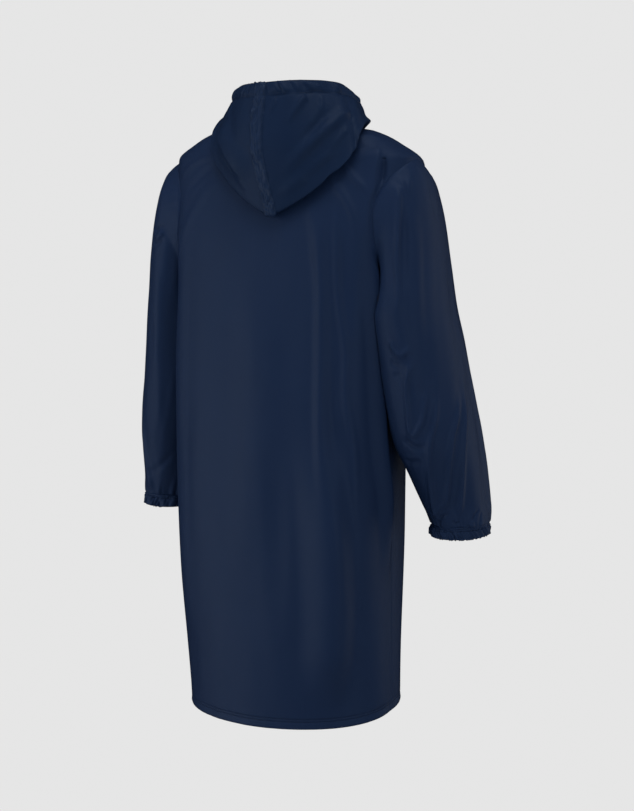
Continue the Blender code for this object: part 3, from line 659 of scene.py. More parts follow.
# Creases of the back: height, reach to the left and the right as they run, how sharp their tops
# are, the shares over which their two ends die away, and the places they run through.
BACK_CREASES = (
    (0.0064, 0.022, 0.019, 0.15, 0.20, 0.35, (-0.110, 0.103, -0.106), (-0.125, 0.129, -0.212),
     (-0.134, 0.144, -0.346), (-0.139, 0.152, -0.506), (-0.146, 0.150, -0.610),
     (-0.154, 0.146, -0.690)),
    (0.0220, 0.034, 0.075, 0.1, 0.45, 0.22, (-0.140, 0.146, -0.470), (-0.154, 0.140, -0.610),
     (-0.163, 0.134, -0.720), (-0.165, 0.130, -0.827), (-0.160, 0.126, -0.900),
     (-0.150, 0.122, -1.020)),
    (-0.0026, 0.016, 0.020, 0.0, 0.40, 0.40, (-0.150, 0.139, -0.379), (-0.155, 0.141, -0.463),
     (-0.162, 0.137, -0.548), (-0.168, 0.132, -0.610)),
    (0.0036, 0.013, 0.013, 0.2, 0.20, 0.30, (-0.140, 0.103, -0.117), (-0.150, 0.118, -0.212),
     (-0.157, 0.126, -0.279), (-0.173, 0.126, -0.379), (-0.176, 0.128, -0.463),
     (-0.188, 0.121, -0.548), (-0.191, 0.118, -0.634), (-0.192, 0.114, -0.704)),
    (0.0150, 0.016, 0.032, 0.2, 0.16, 0.34, (-0.214, 0.088, -0.200), (-0.214, 0.078, -0.296),
     (-0.215, 0.074, -0.381), (-0.216, 0.072, -0.466), (-0.218, 0.064, -0.553),
     (-0.219, 0.046, -0.643), (-0.217, 0.038, -0.732), (-0.212, 0.034, -0.822)),
    (0.0045, 0.006, 0.028, 0.4, 0.12, 0.20, (-0.196, 0.050, -0.036), (-0.198, 0.055, -0.046),
     (-0.201, 0.071, -0.079), (-0.204, 0.079, -0.113), (-0.207, 0.086, -0.154),
     (-0.209, 0.087, -0.200)),
    (-0.0065, 0.007, 0.007, 0.2, 0.20, 0.30, (-0.206, 0.052, -0.056), (-0.210, 0.064, -0.085),
     (-0.214, 0.070, -0.120), (-0.218, 0.072, -0.160)),
    (0.0060, 0.075, 0.060, 0.0, 0.30, 0.35, (0.007, 0.131, -0.214), (-0.002, 0.145, -0.334),
     (-0.009, 0.158, -0.471), (-0.004, 0.163, -0.610), (0.002, 0.162, -0.717),
     (0.008, 0.161, -0.826)),
    (0.0030, 0.011, 0.008, 0.4, 0.35, 0.35, (-0.128, 0.066, -0.024), (-0.158, 0.056, -0.024),
     (-0.180, 0.040, -0.023), (-0.200, 0.022, -0.026)),
    (-0.0030, 0.006, 0.010, 0.5, 0.20, 0.45, (-0.134, 0.078, -0.046), (-0.160, 0.070, -0.040),
     (-0.180, 0.062, -0.042), (-0.196, 0.056, -0.046)),
    (0.0036, 0.009, 0.010, 0.3, 0.12, 0.35, (-0.130, 0.080, -0.058), (-0.142, 0.082, -0.066),
     (-0.160, 0.086, -0.086), (-0.182, 0.086, -0.106), (-0.200, 0.084, -0.123)),
    (0.0034, 0.012, 0.012, 0.1, 0.12, 0.45, (-0.112, 0.094, -0.078), (-0.124, 0.095, -0.089),
     (-0.142, 0.099, -0.109), (-0.161, 0.101, -0.132), (-0.172, 0.102, -0.154),
     (-0.180, 0.102, -0.190)),
    (0.0030, 0.018, 0.016, 0.0, 0.20, 0.50, (-0.092, 0.108, -0.118), (-0.110, 0.128, -0.190),
     (-0.120, 0.134, -0.245), (-0.130, 0.137, -0.300)),
    (0.0016, 0.012, 0.012, 0.3, 0.25, 0.45, (0.120, 0.084, -0.048), (0.160, 0.074, -0.060),
     (0.196, 0.064, -0.086), (0.215, 0.066, -0.125)),
    (0.0016, 0.016, 0.018, 0.1, 0.20, 0.50, (0.100, 0.098, -0.085), (0.140, 0.100, -0.125),
     (0.180, 0.098, -0.200), (0.196, 0.096, -0.280)),
    (-0.0012, 0.012, 0.014, 0.3, 0.25, 0.45, (0.110, 0.090, -0.066), (0.150, 0.086, -0.090),
     (0.186, 0.080, -0.130)),
    (0.0045, 0.016, 0.010, 0.3, 0.15, 0.45, (0.222, 0.060, -0.095), (0.226, 0.074, -0.140),
     (0.230, 0.080, -0.200), (0.226, 0.074, -0.290), (0.216, 0.052, -0.370)),
    (0.0012, 0.030, 0.024, 0.0, 0.4, 0.4, (0.110, 0.140, -0.420), (0.125, 0.146, -0.600),
     (0.118, 0.146, -0.780)),
    (-0.0018, 0.030, 0.034, 0.0, 0.4, 0.3, (-0.048, 0.160, -0.500), (-0.058, 0.164, -0.680),
     (-0.052, 0.160, -0.900)),
)
for crease in BACK_CREASES:
    back.crease(*crease)

# Each front hangs from the shoulder, so its creases fall from there and fade towards the hem.
FRONT_CREASES = (
    (0.0035, 0.016, 0.012, 0.1, 0.25, 0.45, (0.150, -0.060, -0.060), (0.160, -0.090, -0.140),
     (0.158, -0.100, -0.260), (0.150, -0.105, -0.420)),
    (0.0030, 0.022, 0.018, 0.0, 0.30, 0.40, (0.090, -0.090, -0.130), (0.096, -0.108, -0.300),
     (0.088, -0.116, -0.520), (0.094, -0.116, -0.760)),
    (-0.0024, 0.012, 0.014, 0.2, 0.30, 0.40, (0.176, -0.070, -0.110), (0.180, -0.086, -0.180),
     (0.172, -0.090, -0.260)),
    (0.0028, 0.014, 0.010, 0.2, 0.25, 0.45, (0.196, -0.060, -0.120), (0.190, -0.080, -0.200),
     (0.184, -0.082, -0.300), (0.180, -0.076, -0.420)),
    (0.0026, 0.030, 0.026, 0.0, 0.4, 0.4, (0.040, -0.110, -0.400), (0.046, -0.115, -0.620),
     (0.040, -0.112, -0.860)),
    (0.0020, 0.024, 0.030, 0.0, 0.4, 0.35, (0.150, -0.100, -0.560), (0.156, -0.096, -0.740),
     (0.150, -0.090, -0.930)),
)
for side, share, aside, longer, form in ((1, 1.0, 0.0, 1.02, fronts["left"]),
                                         (-1, 0.8, 0.0012, 1.0, fronts["right"])):
    for height, left, right, sharp, start, end, *points in FRONT_CREASES:
        moved = [(side * (x + aside), y, z * longer) for x, y, z in points]
        form.crease(height * share, left, right, sharp, start, end, *moved)

# Puckers along the hem's stitches, a shallow groove under each row, and slow waves everywhere.
for seed, form in ((3, back), (4, fronts["left"]), (5, fronts["right"])):
    u, v = form.u[:, :form.rows.shape[1]], form.v
    above = v - v[0]
    beside = np.exp(-np.abs(above - HEM_MIDDLE) / HEM_REACH)
    form.high += beside * waves(u, v, HEM_PUCKERS, seed)
    for at in HEM_STITCHES:
        form.high -= HEM_GROOVE * bell(above - at, GROOVE_WIDTH)
    form.high += HEM_ROLL * smooth(1 - above / 0.0115) * smooth(above / 0.003)
    if form is not back:
        form.high -= FRONT_GROOVE * bell(u - u[:, :1] - FRONT_STITCH, GROOVE_WIDTH)
    form.high += waves(u, v, SHELL_WAVES, seed)
    inside = np.minimum(u.max(1, keepdims=True) - u, u - u.min(1, keepdims=True))
    form.high *= smooth(inside / SEAM_EASE) * smooth((v[-1] - v) / NECK_EASE)
    form.settle()

turned_up = 1 - smooth((levels + LENGTH - HEM_TURNING) / 0.001)
hem_wall = WALL + (HEM_WALL - WALL) * turned_up[:, None]
for name, node, form, flat in (("back_panel", "back", back, (0.72, 1.06)),
                               ("front_panel_left", "front_left", fronts["left"], (0.36, 1.02)),
                               ("front_panel_right", "front_right", fronts["right"], (0.36, 1.02))):
    panel = shell(name, form, hem_wall, (SHELL, BACKING))
    dress(panel, node)
lines = [line_in(form, away, down=True, lift=STITCH_SUNK) for away in HEM_STITCHES
         for form in (back, *fronts.values())]
sew("hem_stitches", lines)
sew("front_stitches", [line_in(form, FRONT_STITCH, lift=STITCH_SUNK) for form in fronts.values()])


# ================================================================ sleeves
# Each sleeve is one piece of the shell nylon, set into the armhole with a plain turned seam and
# drawn in by the cuff. Its spare cloth falls in long folds down the arm and breaks at the elbow.
# Rings down the arm: how far out and up their inner and outer points are, how far back their
# middle is, and half their depth.
SLEEVE = (
    (0.188, -0.289, 0.261, -0.075, 0.004, 0.0800),
    (0.190, -0.293, 0.275, -0.112, 0.003, 0.0830),
    (0.191, -0.299, 0.286, -0.163, 0.001, 0.0850),
    (0.192, -0.309, 0.296, -0.226, -0.002, 0.0850),
    (0.195, -0.331, 0.306, -0.300, -0.005, 0.0850),
    (0.198, -0.388, 0.320, -0.368, -0.010, 0.0840),
    (0.205, -0.462, 0.335, -0.450, -0.016, 0.0820),
    (0.216, -0.535, 0.349, -0.527, -0.021, 0.0780),
    (0.233, -0.600, 0.357, -0.594, -0.026, 0.0715),
    (0.248, -0.652, 0.360, -0.648, -0.029, 0.0630),
    (0.264, -0.690, 0.364, -0.687, -0.031, 0.0540),
)
SLEEVE_CLEAR = 0.0030
SETTLED_CLEAR = 0.0022
NEAR_BODY = {1: 0.004, -1: 0.018}
SQUARE = 0.62
SLEEVE_SEGMENTS = 176
SLEEVE_ROWS = 152
ARM_SWAY = 0.0065
SWAY_FADE = (-0.400, -0.200)
GATHERS = 40
TUCK = 0.005
MOST_DEEP = 0.05
NEAR_BOX = 0.010
REST_STEPS = 5
EASED_STEPS = 3
BLUR_ROUNDS = 4
BODY_FORWARD = 0.13
CUFF_ZONE = 0.030
CUFF_ZONE_ROWS = 24
GATHER_HIGH = 0.0022
ARM_WAVES = ((0.0016, 2.4, 0.20, 2), (0.0006, 6, 0.06, 3))
CAP_PUCKER = 0.0009
CUFF_NIP = 0.0012


def ring_points(table, turns, side):
    """Rings through an inner and an outer point of the arm, from its outside round."""
    table = np.array(table, float)
    inner_out, inner_up, outer_out, outer_up, behind, half_deep = table.T[..., None]
    across = np.cos(turns)
    along = np.sin(turns)
    middle = (inner_up + outer_up) / 2
    pressed = fade(middle, (-0.200, -0.340)) * fade(middle, (-0.640, -0.520))
    pressed = pressed * smooth(-across) * smooth(along) * (side < 0)
    across, along = (np.sign(value) * np.abs(value) ** (1 + (SQUARE - 1) * pressed)
                     for value in (across, along))
    spare = NEAR_BODY[int(side)] * fade(middle, (-0.200, -0.340)) * fade(middle, (-0.670, -0.500))
    x = (inner_out + outer_out) / 2 + (outer_out - inner_out) / 2 * across
    z = (inner_up + outer_up) / 2 + (outer_up - inner_up) / 2 * across
    y = behind + spare + (half_deep + spare * 0.8) * along
    return tilted(np.stack((side * x + ARM_SWAY * fade(z, SWAY_FADE), y, z), -1))


def wrist(down, drawn_in=0.0):
    """The row of the sleeve's end, moved down the arm and drawn in all round."""
    inner_out, inner_up, outer_out, outer_up, behind, half_deep = SLEEVE[-1]
    way = unit(np.array((outer_out - inner_out, outer_up - inner_up)))
    drop = np.array((way[1], -way[0])) * down
    inner = np.array((inner_out, inner_up)) + way * drawn_in + drop
    outer = np.array((outer_out, outer_up)) - way * drawn_in + drop
    return (*inner, *outer, behind, half_deep - drawn_in)


def ring_noise(turns, bumps, seed, along=0.0, middle=20):
    """Noise round a closed ring, with about 2 pi times bumps waves in it."""
    return noise(middle + bumps * np.cos(turns), middle + bumps * np.sin(turns) + along, seed)


def tree_of(forms):
    """The outer faces of several forms, to find the nearest place on them."""
    points, faces = [], []
    for form in forms:
        down, across = form.rows.shape[:2]
        index = np.arange(down * across).reshape(down, across) + sum(len(p) for p in points)
        quads = grid_quads(index)
        points.append(form.rows.reshape(-1, 3))
        faces.append(quads[:, ::-1] if form.flip else quads)
    return BVHTree.FromPolygons(np.concatenate(points).tolist(), np.concatenate(faces).tolist())


def blur(values, rounds, ring):
    """Each value drawn towards those about it."""
    for _ in range(rounds):
        side = np.roll(values, 1, 1) + np.roll(values, -1, 1)
        if not ring:
            side[:, 0], side[:, -1] = 2 * values[:, 0], 2 * values[:, -1]
        values = (values * 2 + side) / 4
        values[1:-1] = (values[1:-1] * 2 + values[:-2] + values[2:]) / 4
    return values


def push_off(point, room, reach=MOST_DEEP):
    """What takes a point off the body, where it lies nearer to it than the room it needs."""
    place, normal, _, _ = body_tree.find_nearest(point, reach)
    if place is None:
        return (0.0, 0.0, 0.0)
    away = (Vector(point) - place).dot(normal)
    return normal * (room - away) if -MOST_DEEP < away < room else (0.0, 0.0, 0.0)


def rest(rows, room, ring=False):
    """Moves points that lie nearer to the body than the room they need off it, and eases the
    points about them along."""
    room = np.zeros(rows.shape[:2]) + room
    low, high = body_box
    for step in range(REST_STEPS):
        push = np.zeros_like(rows)
        near = ((rows > low - NEAR_BOX) & (rows < high + NEAR_BOX)).all(-1) & (room > 0)
        for i, j in zip(*np.nonzero(near)):
            push[i, j] = push_off(rows[i, j], room[i, j])
        if step < EASED_STEPS:
            short = (push != 0).any(-1, keepdims=True)
            push = np.where(short, push, blur(push, BLUR_ROUNDS, ring))
        rows = rows + push * smooth(room / 0.0005)[..., None]
    return rows


body_tree = tree_of([back, *fronts.values()])
body_box = (back.rows.min((0, 1)) - (0, BODY_FORWARD, 0), back.rows.max((0, 1)))
turns = np.arange(SLEEVE_SEGMENTS) * 2 * np.pi / SLEEVE_SEGMENTS
edge_turns = np.pi * np.arange(ARMHOLE_ROWS + 1) / ARMHOLE_ROWS

# Creases of the right sleeve, where they break at the elbow and gather to the cuff, and of the
# left one, which hangs straighter.
SLEEVE_CREASES = {
    "right": (
        (0.0054, 0.009, 0.010, 0.5, 0.12, 0.25, (-0.235, 0.058, -0.098), (-0.245, 0.072, -0.137),
         (-0.248, 0.080, -0.187), (-0.252, 0.090, -0.236), (-0.259, 0.099, -0.277),
         (-0.262, 0.102, -0.330)),
        (0.0052, 0.008, 0.009, 0.5, 0.15, 0.10, (-0.284, 0.099, -0.393), (-0.279, 0.100, -0.417),
         (-0.275, 0.099, -0.439), (-0.277, 0.096, -0.473), (-0.278, 0.092, -0.505),
         (-0.279, 0.091, -0.526)),
        (0.0046, 0.008, 0.008, 0.4, 0.30, 0.10, (-0.304, 0.084, -0.440), (-0.303, 0.085, -0.466),
         (-0.302, 0.086, -0.484), (-0.299, 0.088, -0.499), (-0.291, 0.090, -0.513),
         (-0.281, 0.092, -0.526)),
        (0.0058, 0.006, 0.008, 0.6, 0.15, 0.25, (-0.250, 0.106, -0.362), (-0.257, 0.106, -0.379),
         (-0.266, 0.105, -0.384), (-0.275, 0.103, -0.380), (-0.280, 0.101, -0.368)),
        (-0.0040, 0.008, 0.010, 0.3, 0.20, 0.40, (-0.246, 0.098, -0.392), (-0.258, 0.098, -0.402),
         (-0.272, 0.097, -0.402)),
        (-0.0042, 0.006, 0.006, 0.4, 0.25, 0.40, (-0.250, 0.100, -0.418), (-0.260, 0.103, -0.418),
         (-0.270, 0.102, -0.414)),
        (-0.0060, 0.009, 0.008, 0.4, 0.15, 0.35, (-0.262, 0.086, -0.528), (-0.272, 0.086, -0.534),
         (-0.286, 0.086, -0.541), (-0.306, 0.080, -0.540)),
        (-0.0052, 0.009, 0.008, 0.4, 0.15, 0.35, (-0.254, 0.062, -0.572), (-0.266, 0.068, -0.571),
         (-0.280, 0.072, -0.569), (-0.296, 0.076, -0.564)),
        (0.0062, 0.009, 0.010, 0.5, 0.30, 0.10, (-0.318, 0.068, -0.440), (-0.317, 0.071, -0.478),
         (-0.315, 0.075, -0.504), (-0.310, 0.078, -0.537), (-0.304, 0.067, -0.578),
         (-0.299, 0.049, -0.622), (-0.296, 0.034, -0.656), (-0.297, 0.023, -0.682)),
        (0.0060, 0.009, 0.010, 0.4, 0.35, 0.10, (-0.333, 0.015, -0.440), (-0.338, 0.030, -0.484),
         (-0.336, 0.047, -0.523), (-0.332, 0.049, -0.567), (-0.328, 0.044, -0.607),
         (-0.321, 0.038, -0.641), (-0.315, 0.033, -0.656)),
        (0.0056, 0.009, 0.011, 0.3, 0.35, 0.10, (-0.334, 0.003, -0.430), (-0.342, 0.011, -0.480),
         (-0.346, 0.023, -0.525), (-0.348, 0.028, -0.566), (-0.345, 0.025, -0.622),
         (-0.338, 0.021, -0.668)),
        (-0.0036, 0.004, 0.005, 0.6, 0.15, 0.25, (-0.300, 0.020, -0.684), (-0.304, 0.027, -0.673),
         (-0.312, 0.032, -0.664), (-0.323, 0.032, -0.658)),
        (0.0034, 0.005, 0.005, 0.6, 0.25, 0.25, (-0.294, 0.030, -0.666), (-0.303, 0.035, -0.656),
         (-0.312, 0.037, -0.648), (-0.321, 0.038, -0.641)),
        (-0.0024, 0.004, 0.004, 0.5, 0.30, 0.30, (-0.326, 0.026, -0.670), (-0.332, 0.021, -0.678),
         (-0.339, 0.020, -0.670)),
        (-0.0024, 0.004, 0.004, 0.5, 0.25, 0.30, (-0.352, 0.006, -0.676), (-0.358, -0.001, -0.662),
         (-0.364, -0.011, -0.652)),
        (-0.0020, 0.004, 0.004, 0.5, 0.25, 0.30, (-0.362, -0.010, -0.680), (-0.363, -0.012, -0.666),
         (-0.365, -0.019, -0.656)),
        (-0.0012, 0.003, 0.003, 0.4, 0.30, 0.30, (-0.298, 0.088, -0.425), (-0.308, 0.080, -0.424),
         (-0.317, 0.068, -0.425)),
        (0.0030, 0.020, 0.018, 0.1, 0.20, 0.30, (-0.253, 0.056, -0.121), (-0.264, 0.060, -0.162),
         (-0.274, 0.066, -0.212), (-0.283, 0.076, -0.270), (-0.292, 0.086, -0.350),
         (-0.300, 0.088, -0.410)),
        (-0.0030, 0.012, 0.014, 0.1, 0.30, 0.40, (-0.250, 0.064, -0.130), (-0.258, 0.078, -0.210),
         (-0.268, 0.092, -0.290)),
        (0.0030, 0.006, 0.008, 0.6, 0.20, 0.50, (-0.236, 0.052, -0.094), (-0.246, 0.056, -0.108),
         (-0.254, 0.062, -0.122)),
        (0.0028, 0.007, 0.006, 0.6, 0.20, 0.40, (-0.250, 0.044, -0.090), (-0.254, 0.052, -0.106),
         (-0.255, 0.060, -0.120)),
        (0.0040, 0.020, 0.016, 0.2, 0.40, 0.12, (-0.318, -0.020, -0.330), (-0.332, -0.034, -0.440),
         (-0.344, -0.044, -0.540), (-0.344, -0.050, -0.640), (-0.334, -0.050, -0.684)),
        (0.0045, 0.014, 0.012, 0.3, 0.40, 0.30, (-0.262, -0.088, -0.300), (-0.268, -0.094, -0.400),
         (-0.272, -0.096, -0.480), (-0.276, -0.094, -0.560)),
        (-0.0045, 0.010, 0.009, 0.4, 0.25, 0.40, (-0.238, -0.060, -0.500), (-0.262, -0.086, -0.506),
         (-0.290, -0.094, -0.500)),
        (-0.0040, 0.009, 0.010, 0.4, 0.25, 0.40, (-0.244, -0.058, -0.545), (-0.266, -0.084, -0.552),
         (-0.292, -0.088, -0.548)),
        (0.0042, 0.010, 0.012, 0.4, 0.35, 0.10, (-0.284, -0.092, -0.560), (-0.290, -0.088, -0.620),
         (-0.294, -0.080, -0.682)),
        (0.0036, 0.012, 0.010, 0.3, 0.40, 0.10, (-0.318, -0.074, -0.540), (-0.318, -0.076, -0.610),
         (-0.314, -0.072, -0.682)),
    ),
    "left": (
        (0.0010, 0.020, 0.020, 0.3, 0.25, 0.12, (0.246, 0.085, -0.200), (0.252, 0.080, -0.311),
         (0.261, 0.070, -0.405), (0.271, 0.059, -0.501), (0.285, 0.044, -0.599),
         (0.296, 0.026, -0.680)),
        (-0.0035, 0.007, 0.008, 0.5, 0.25, 0.40, (0.236, 0.078, -0.172), (0.252, 0.078, -0.182),
         (0.268, 0.070, -0.178)),
        (-0.0032, 0.007, 0.008, 0.5, 0.25, 0.45, (0.236, 0.080, -0.196), (0.252, 0.082, -0.208),
         (0.270, 0.074, -0.204)),
        (0.0035, 0.009, 0.010, 0.4, 0.25, 0.40, (0.238, 0.080, -0.186), (0.250, 0.084, -0.196),
         (0.262, 0.080, -0.194)),
        (0.0014, 0.022, 0.022, 0.1, 0.30, 0.40, (0.282, 0.060, -0.160), (0.296, 0.060, -0.260),
         (0.310, 0.052, -0.370), (0.324, 0.040, -0.480)),
        (0.0036, 0.012, 0.012, 0.3, 0.40, 0.10, (0.318, 0.040, -0.520), (0.322, 0.036, -0.600),
         (0.322, 0.022, -0.682)),
        (-0.0020, 0.010, 0.012, 0.3, 0.30, 0.40, (0.250, 0.036, -0.600), (0.272, 0.046, -0.622),
         (0.300, 0.040, -0.640), (0.330, 0.022, -0.648)),
        (0.0040, 0.016, 0.018, 0.2, 0.40, 0.12, (0.318, -0.020, -0.330), (0.334, -0.036, -0.440),
         (0.346, -0.046, -0.560), (0.340, -0.050, -0.684)),
        (0.0045, 0.012, 0.014, 0.3, 0.30, 0.20, (0.262, -0.088, -0.280), (0.270, -0.094, -0.400),
         (0.276, -0.096, -0.520), (0.286, -0.088, -0.640)),
        (-0.0042, 0.010, 0.009, 0.4, 0.25, 0.40, (0.236, -0.060, -0.470), (0.262, -0.088, -0.478),
         (0.292, -0.094, -0.470)),
        (-0.0036, 0.009, 0.010, 0.4, 0.25, 0.40, (0.240, -0.060, -0.515), (0.262, -0.086, -0.526),
         (0.290, -0.092, -0.522)),
        (0.0038, 0.012, 0.010, 0.3, 0.40, 0.10, (0.316, -0.074, -0.520), (0.316, -0.076, -0.600),
         (0.312, -0.072, -0.682)),
    ),
}
sleeves = {}
for name, side, seed in (("left", 1.0, 11), ("right", -1.0, 12)):
    behind = back.rows[FOOT_ROW:TOP_ROW + 1, 0 if side > 0 else -1]
    before = fronts[name].rows[FOOT_ROW:TOP_ROW + 1, -1]
    knots = np.concatenate((edge_turns, edge_turns[1:] + np.pi))
    edge = np.concatenate((behind[::-1], before[1:]))
    armhole = np.stack([np.interp(turns, knots, edge[:, k]) for k in range(3)], -1)
    rings = np.concatenate((armhole[None], ring_points((*SLEEVE, wrist(TUCK, WALL)), turns, side)))
    steps = np.linalg.norm(np.diff(rings, axis=0), axis=-1).mean(1)
    walked = np.concatenate(([0.0], np.cumsum(steps)))
    begin = walked[-2] - CUFF_ZONE
    levels_down = np.concatenate((np.linspace(0, begin, SLEEVE_ROWS - CUFF_ZONE_ROWS),
                                  np.linspace(begin + 0.002, walked[-1], CUFF_ZONE_ROWS)))
    rows = curve(walked, rings, levels_down)
    from_seam = levels_down[:, None] + 0 * turns
    off_seam = smooth(from_seam / 0.025)
    form = Form(rest(rows, SLEEVE_CLEAR * off_seam, ring=True), ring=True, flip=side > 0)
    for crease in SLEEVE_CREASES[name]:
        form.crease(*crease)
    to_cuff = np.clip(walked[-2] - from_seam, 0, None)
    gather = 2 * np.abs(ring_noise(turns, GATHERS / (2 * np.pi), seed)) - 0.7
    long = 0.020 + 0.030 * (ring_noise(turns, 3, seed + 1, middle=5) + 1)
    gather = gather * smooth(1 - to_cuff / long) ** 1.5 * smooth(0.15 + to_cuff / 0.004)
    form.high += GATHER_HIGH * gather
    for high, bumps, length, more in ARM_WAVES:
        form.high += high * ring_noise(turns, bumps, seed + more, to_cuff / length)
    form.high *= smooth(from_seam / 0.014)
    at_cap = smooth(from_seam / 0.004) * smooth(1 - from_seam / 0.030)
    form.high += CAP_PUCKER * ring_noise(turns, 14, seed + 4) * at_cap
    form.high -= CUFF_NIP * smooth(1 - to_cuff / 0.003)
    form.settle()
    form.rows = rest(form.rows, SETTLED_CLEAR * off_seam, ring=True)
    form.turn_out()
    sleeves[name] = form
    sleeve = shell("sleeve_cloth_" + name, form, WALL * 0.9, (SHELL, BACKING))
    dress(sleeve, "sleeve_" + name)


# ================================================================ cuffs
# A straight band of the shell nylon folded over flat elastic, with two rows of stitches through
# it. The elastic draws it in, so the band stands in fine slanted gathers.
CUFF_HEIGHT = 0.021
CUFF_WALL = 0.0026
CUFF_BULGE = 0.0008
CUFF_SEGMENTS = 288
CUFF_ROWS = 26
CUFF_GATHERS = 52
CUFF_STITCHES = (0.08, 0.28)
CUFF_LEAN = 0.16
CUFF_PLEAT = 0.0036
CUFF_GROOVE = 0.0017

cuffs = {}
turns = np.arange(CUFF_SEGMENTS) * 2 * np.pi / CUFF_SEGMENTS
shares = np.linspace(0, 1, CUFF_ROWS)
for name, side, seed in (("left", 1.0, 31), ("right", -1.0, 32)):
    table = [wrist(CUFF_HEIGHT * share) for share in shares]
    form = Form(ring_points(table, turns, side), ring=True, flip=side > 0)
    share = shares[:, None] + 0 * turns
    lean = turns + CUFF_LEAN * share
    bumps = CUFF_GATHERS / (2 * np.pi)
    gather = 2 * np.abs(ring_noise(lean, bumps, seed, share * 0.8, middle=40)) - 0.6
    gather = gather * smooth(share / 0.35 + 0.1) * smooth((1 - share) / 0.12 + 0.35)
    form.high += CUFF_BULGE * np.sin(np.pi * share) ** 0.6 + CUFF_PLEAT * gather
    form.high -= CUFF_GROOVE * sum(bell(share - at, 0.055) for at in CUFF_STITCHES)
    form.settle()
    cuffs[name] = form
    cuff = shell("cuff_band_" + name, form, CUFF_WALL, (SHELL, SHELL))
    dress(cuff, "cuff_" + name)
rows_sewn = []
for form in cuffs.values():
    for at in CUFF_STITCHES:
        row = int(round(at * (CUFF_ROWS - 1)))
        rows_sewn.append((form.rows[row] + form.out[row] * STITCH_SUNK, form.out[row]))
sew("cuff_stitches", rows_sewn, closed=True)


# ================================================================ hood
# The hood lies back on the shoulders. It is two halves of the shell nylon joined by one seam over
# the head, covered by a strip with a row of stitches down each side, and its face edge is turned
# in and stitched as a casing.
# Profiles from the middle of the back, 0, over the shoulder seam, 1, to the front edge, 2: the
# bag's fold out, back and up, the rim out, back and up, thickness, belly, and how far fold and rim
# have swung to the left.
HOOD = (
    (0.00, 0.000, 0.122, -0.160, 0.000, 0.124, 0.069, 0.012, 0.022, -0.031, -0.002),
    (0.25, 0.046, 0.122, -0.136, 0.040, 0.116, 0.070, 0.014, 0.020, -0.029, -0.010),
    (0.50, 0.100, 0.108, -0.096, 0.075, 0.090, 0.0695, 0.014, 0.015, -0.026, -0.011),
    (0.75, 0.140, 0.072, -0.052, 0.103, 0.048, 0.065, 0.012, 0.007, -0.023, -0.010),
    (1.00, 0.146, 0.015, 0.001, 0.110, 0.000, 0.048, 0.011, 0.002, -0.007, -0.006),
    (1.30, 0.102, -0.046, -0.012, 0.080, -0.036, 0.032, 0.007, 0.002, 0.000, 0.000),
    (1.65, 0.068, -0.096, -0.058, 0.056, -0.084, -0.018, 0.007, 0.003, 0.000, 0.000),
    (2.00, 0.016, -0.114, -0.082, 0.014, -0.104, -0.050, 0.005, 0.003, 0.000, 0.000),
)
HOOD_LIFT = 0.0010
HOOD_TILT = -0.050
HOOD_CLEAR = 0.0025
HOOD_SPARE = 0.0030
BAG_RISE = 0.0070
BAG_TURN = 1.2
BAG_DIP = 0.7
HOOD_STAND = 0.013
HOOD_PROFILE = (0.0, 0.022, 0.055, 0.12, 0.22, 0.33, 0.41, 0.455, 0.50, 0.56, 0.66, 0.77, 0.885,
                1.0)
HOOD_STATIONS = 190
HOOD_POINTS = 158
HOOD_EVEN = 0.25
HOOD_CROWD = 2.2
HOOD_BOW = 0.009
STRIP_HALF = 0.0125
STRIP_STITCH = 0.0104
STRIP_PROUD = 0.0012
CASING = 0.0235
CASING_WALL = 0.0026
HOOD_WALL = WALL * 0.85
# The hood's colour is the shell nylon painted darker: painted shade standing in for the light the
# hood gets less of than the back.
HOOD_SHADED_COLOUR = (0.0094, 0.0230, 0.0640)
STRIP_COLOUR = (0.0120, 0.0275, 0.0740)
FAR = 10.0
PUSH_ROUNDS = 6
SPAN_STEPS = np.arange(24) / 24
HOOD_WAVES = ((0.0008, 0.045, 0.060, 0, 0), (0.0003, 0.018, 0.024, 0, 2))
CASING_PUCKERS = ((0.0007, 0.0085, 0.030, 0, 4),)
CASING_SWELL = 0.0014
CASING_PLEAT = 0.0033
CASING_GROOVE = 0.0026
STRIP_PUCKER = 0.0019
STRIP_GROOVE = 0.0009
SEAM_GROOVE = 0.0008
BESIDE_STRIP = ((0.00045, 0.009, 0.012, 0, 62),)

# A darker copy of the shell nylon for the hood halves. The darkening is painted shade, not a
# different cloth or grain.
HOOD_SHADED_SHELL = woven("shell_nylon_across", HOOD_SHADED_COLOUR, 0.40, THREAD_PITCH, STREAK,
                   Specular_IOR_Level=0.12, Specular_Tint=SHEEN_COLOUR)
STRIP = woven("seam_strip_nylon", STRIP_COLOUR, 0.38, THREAD_PITCH, STREAK,
              Specular_IOR_Level=0.18, Specular_Tint=SHEEN_COLOUR)


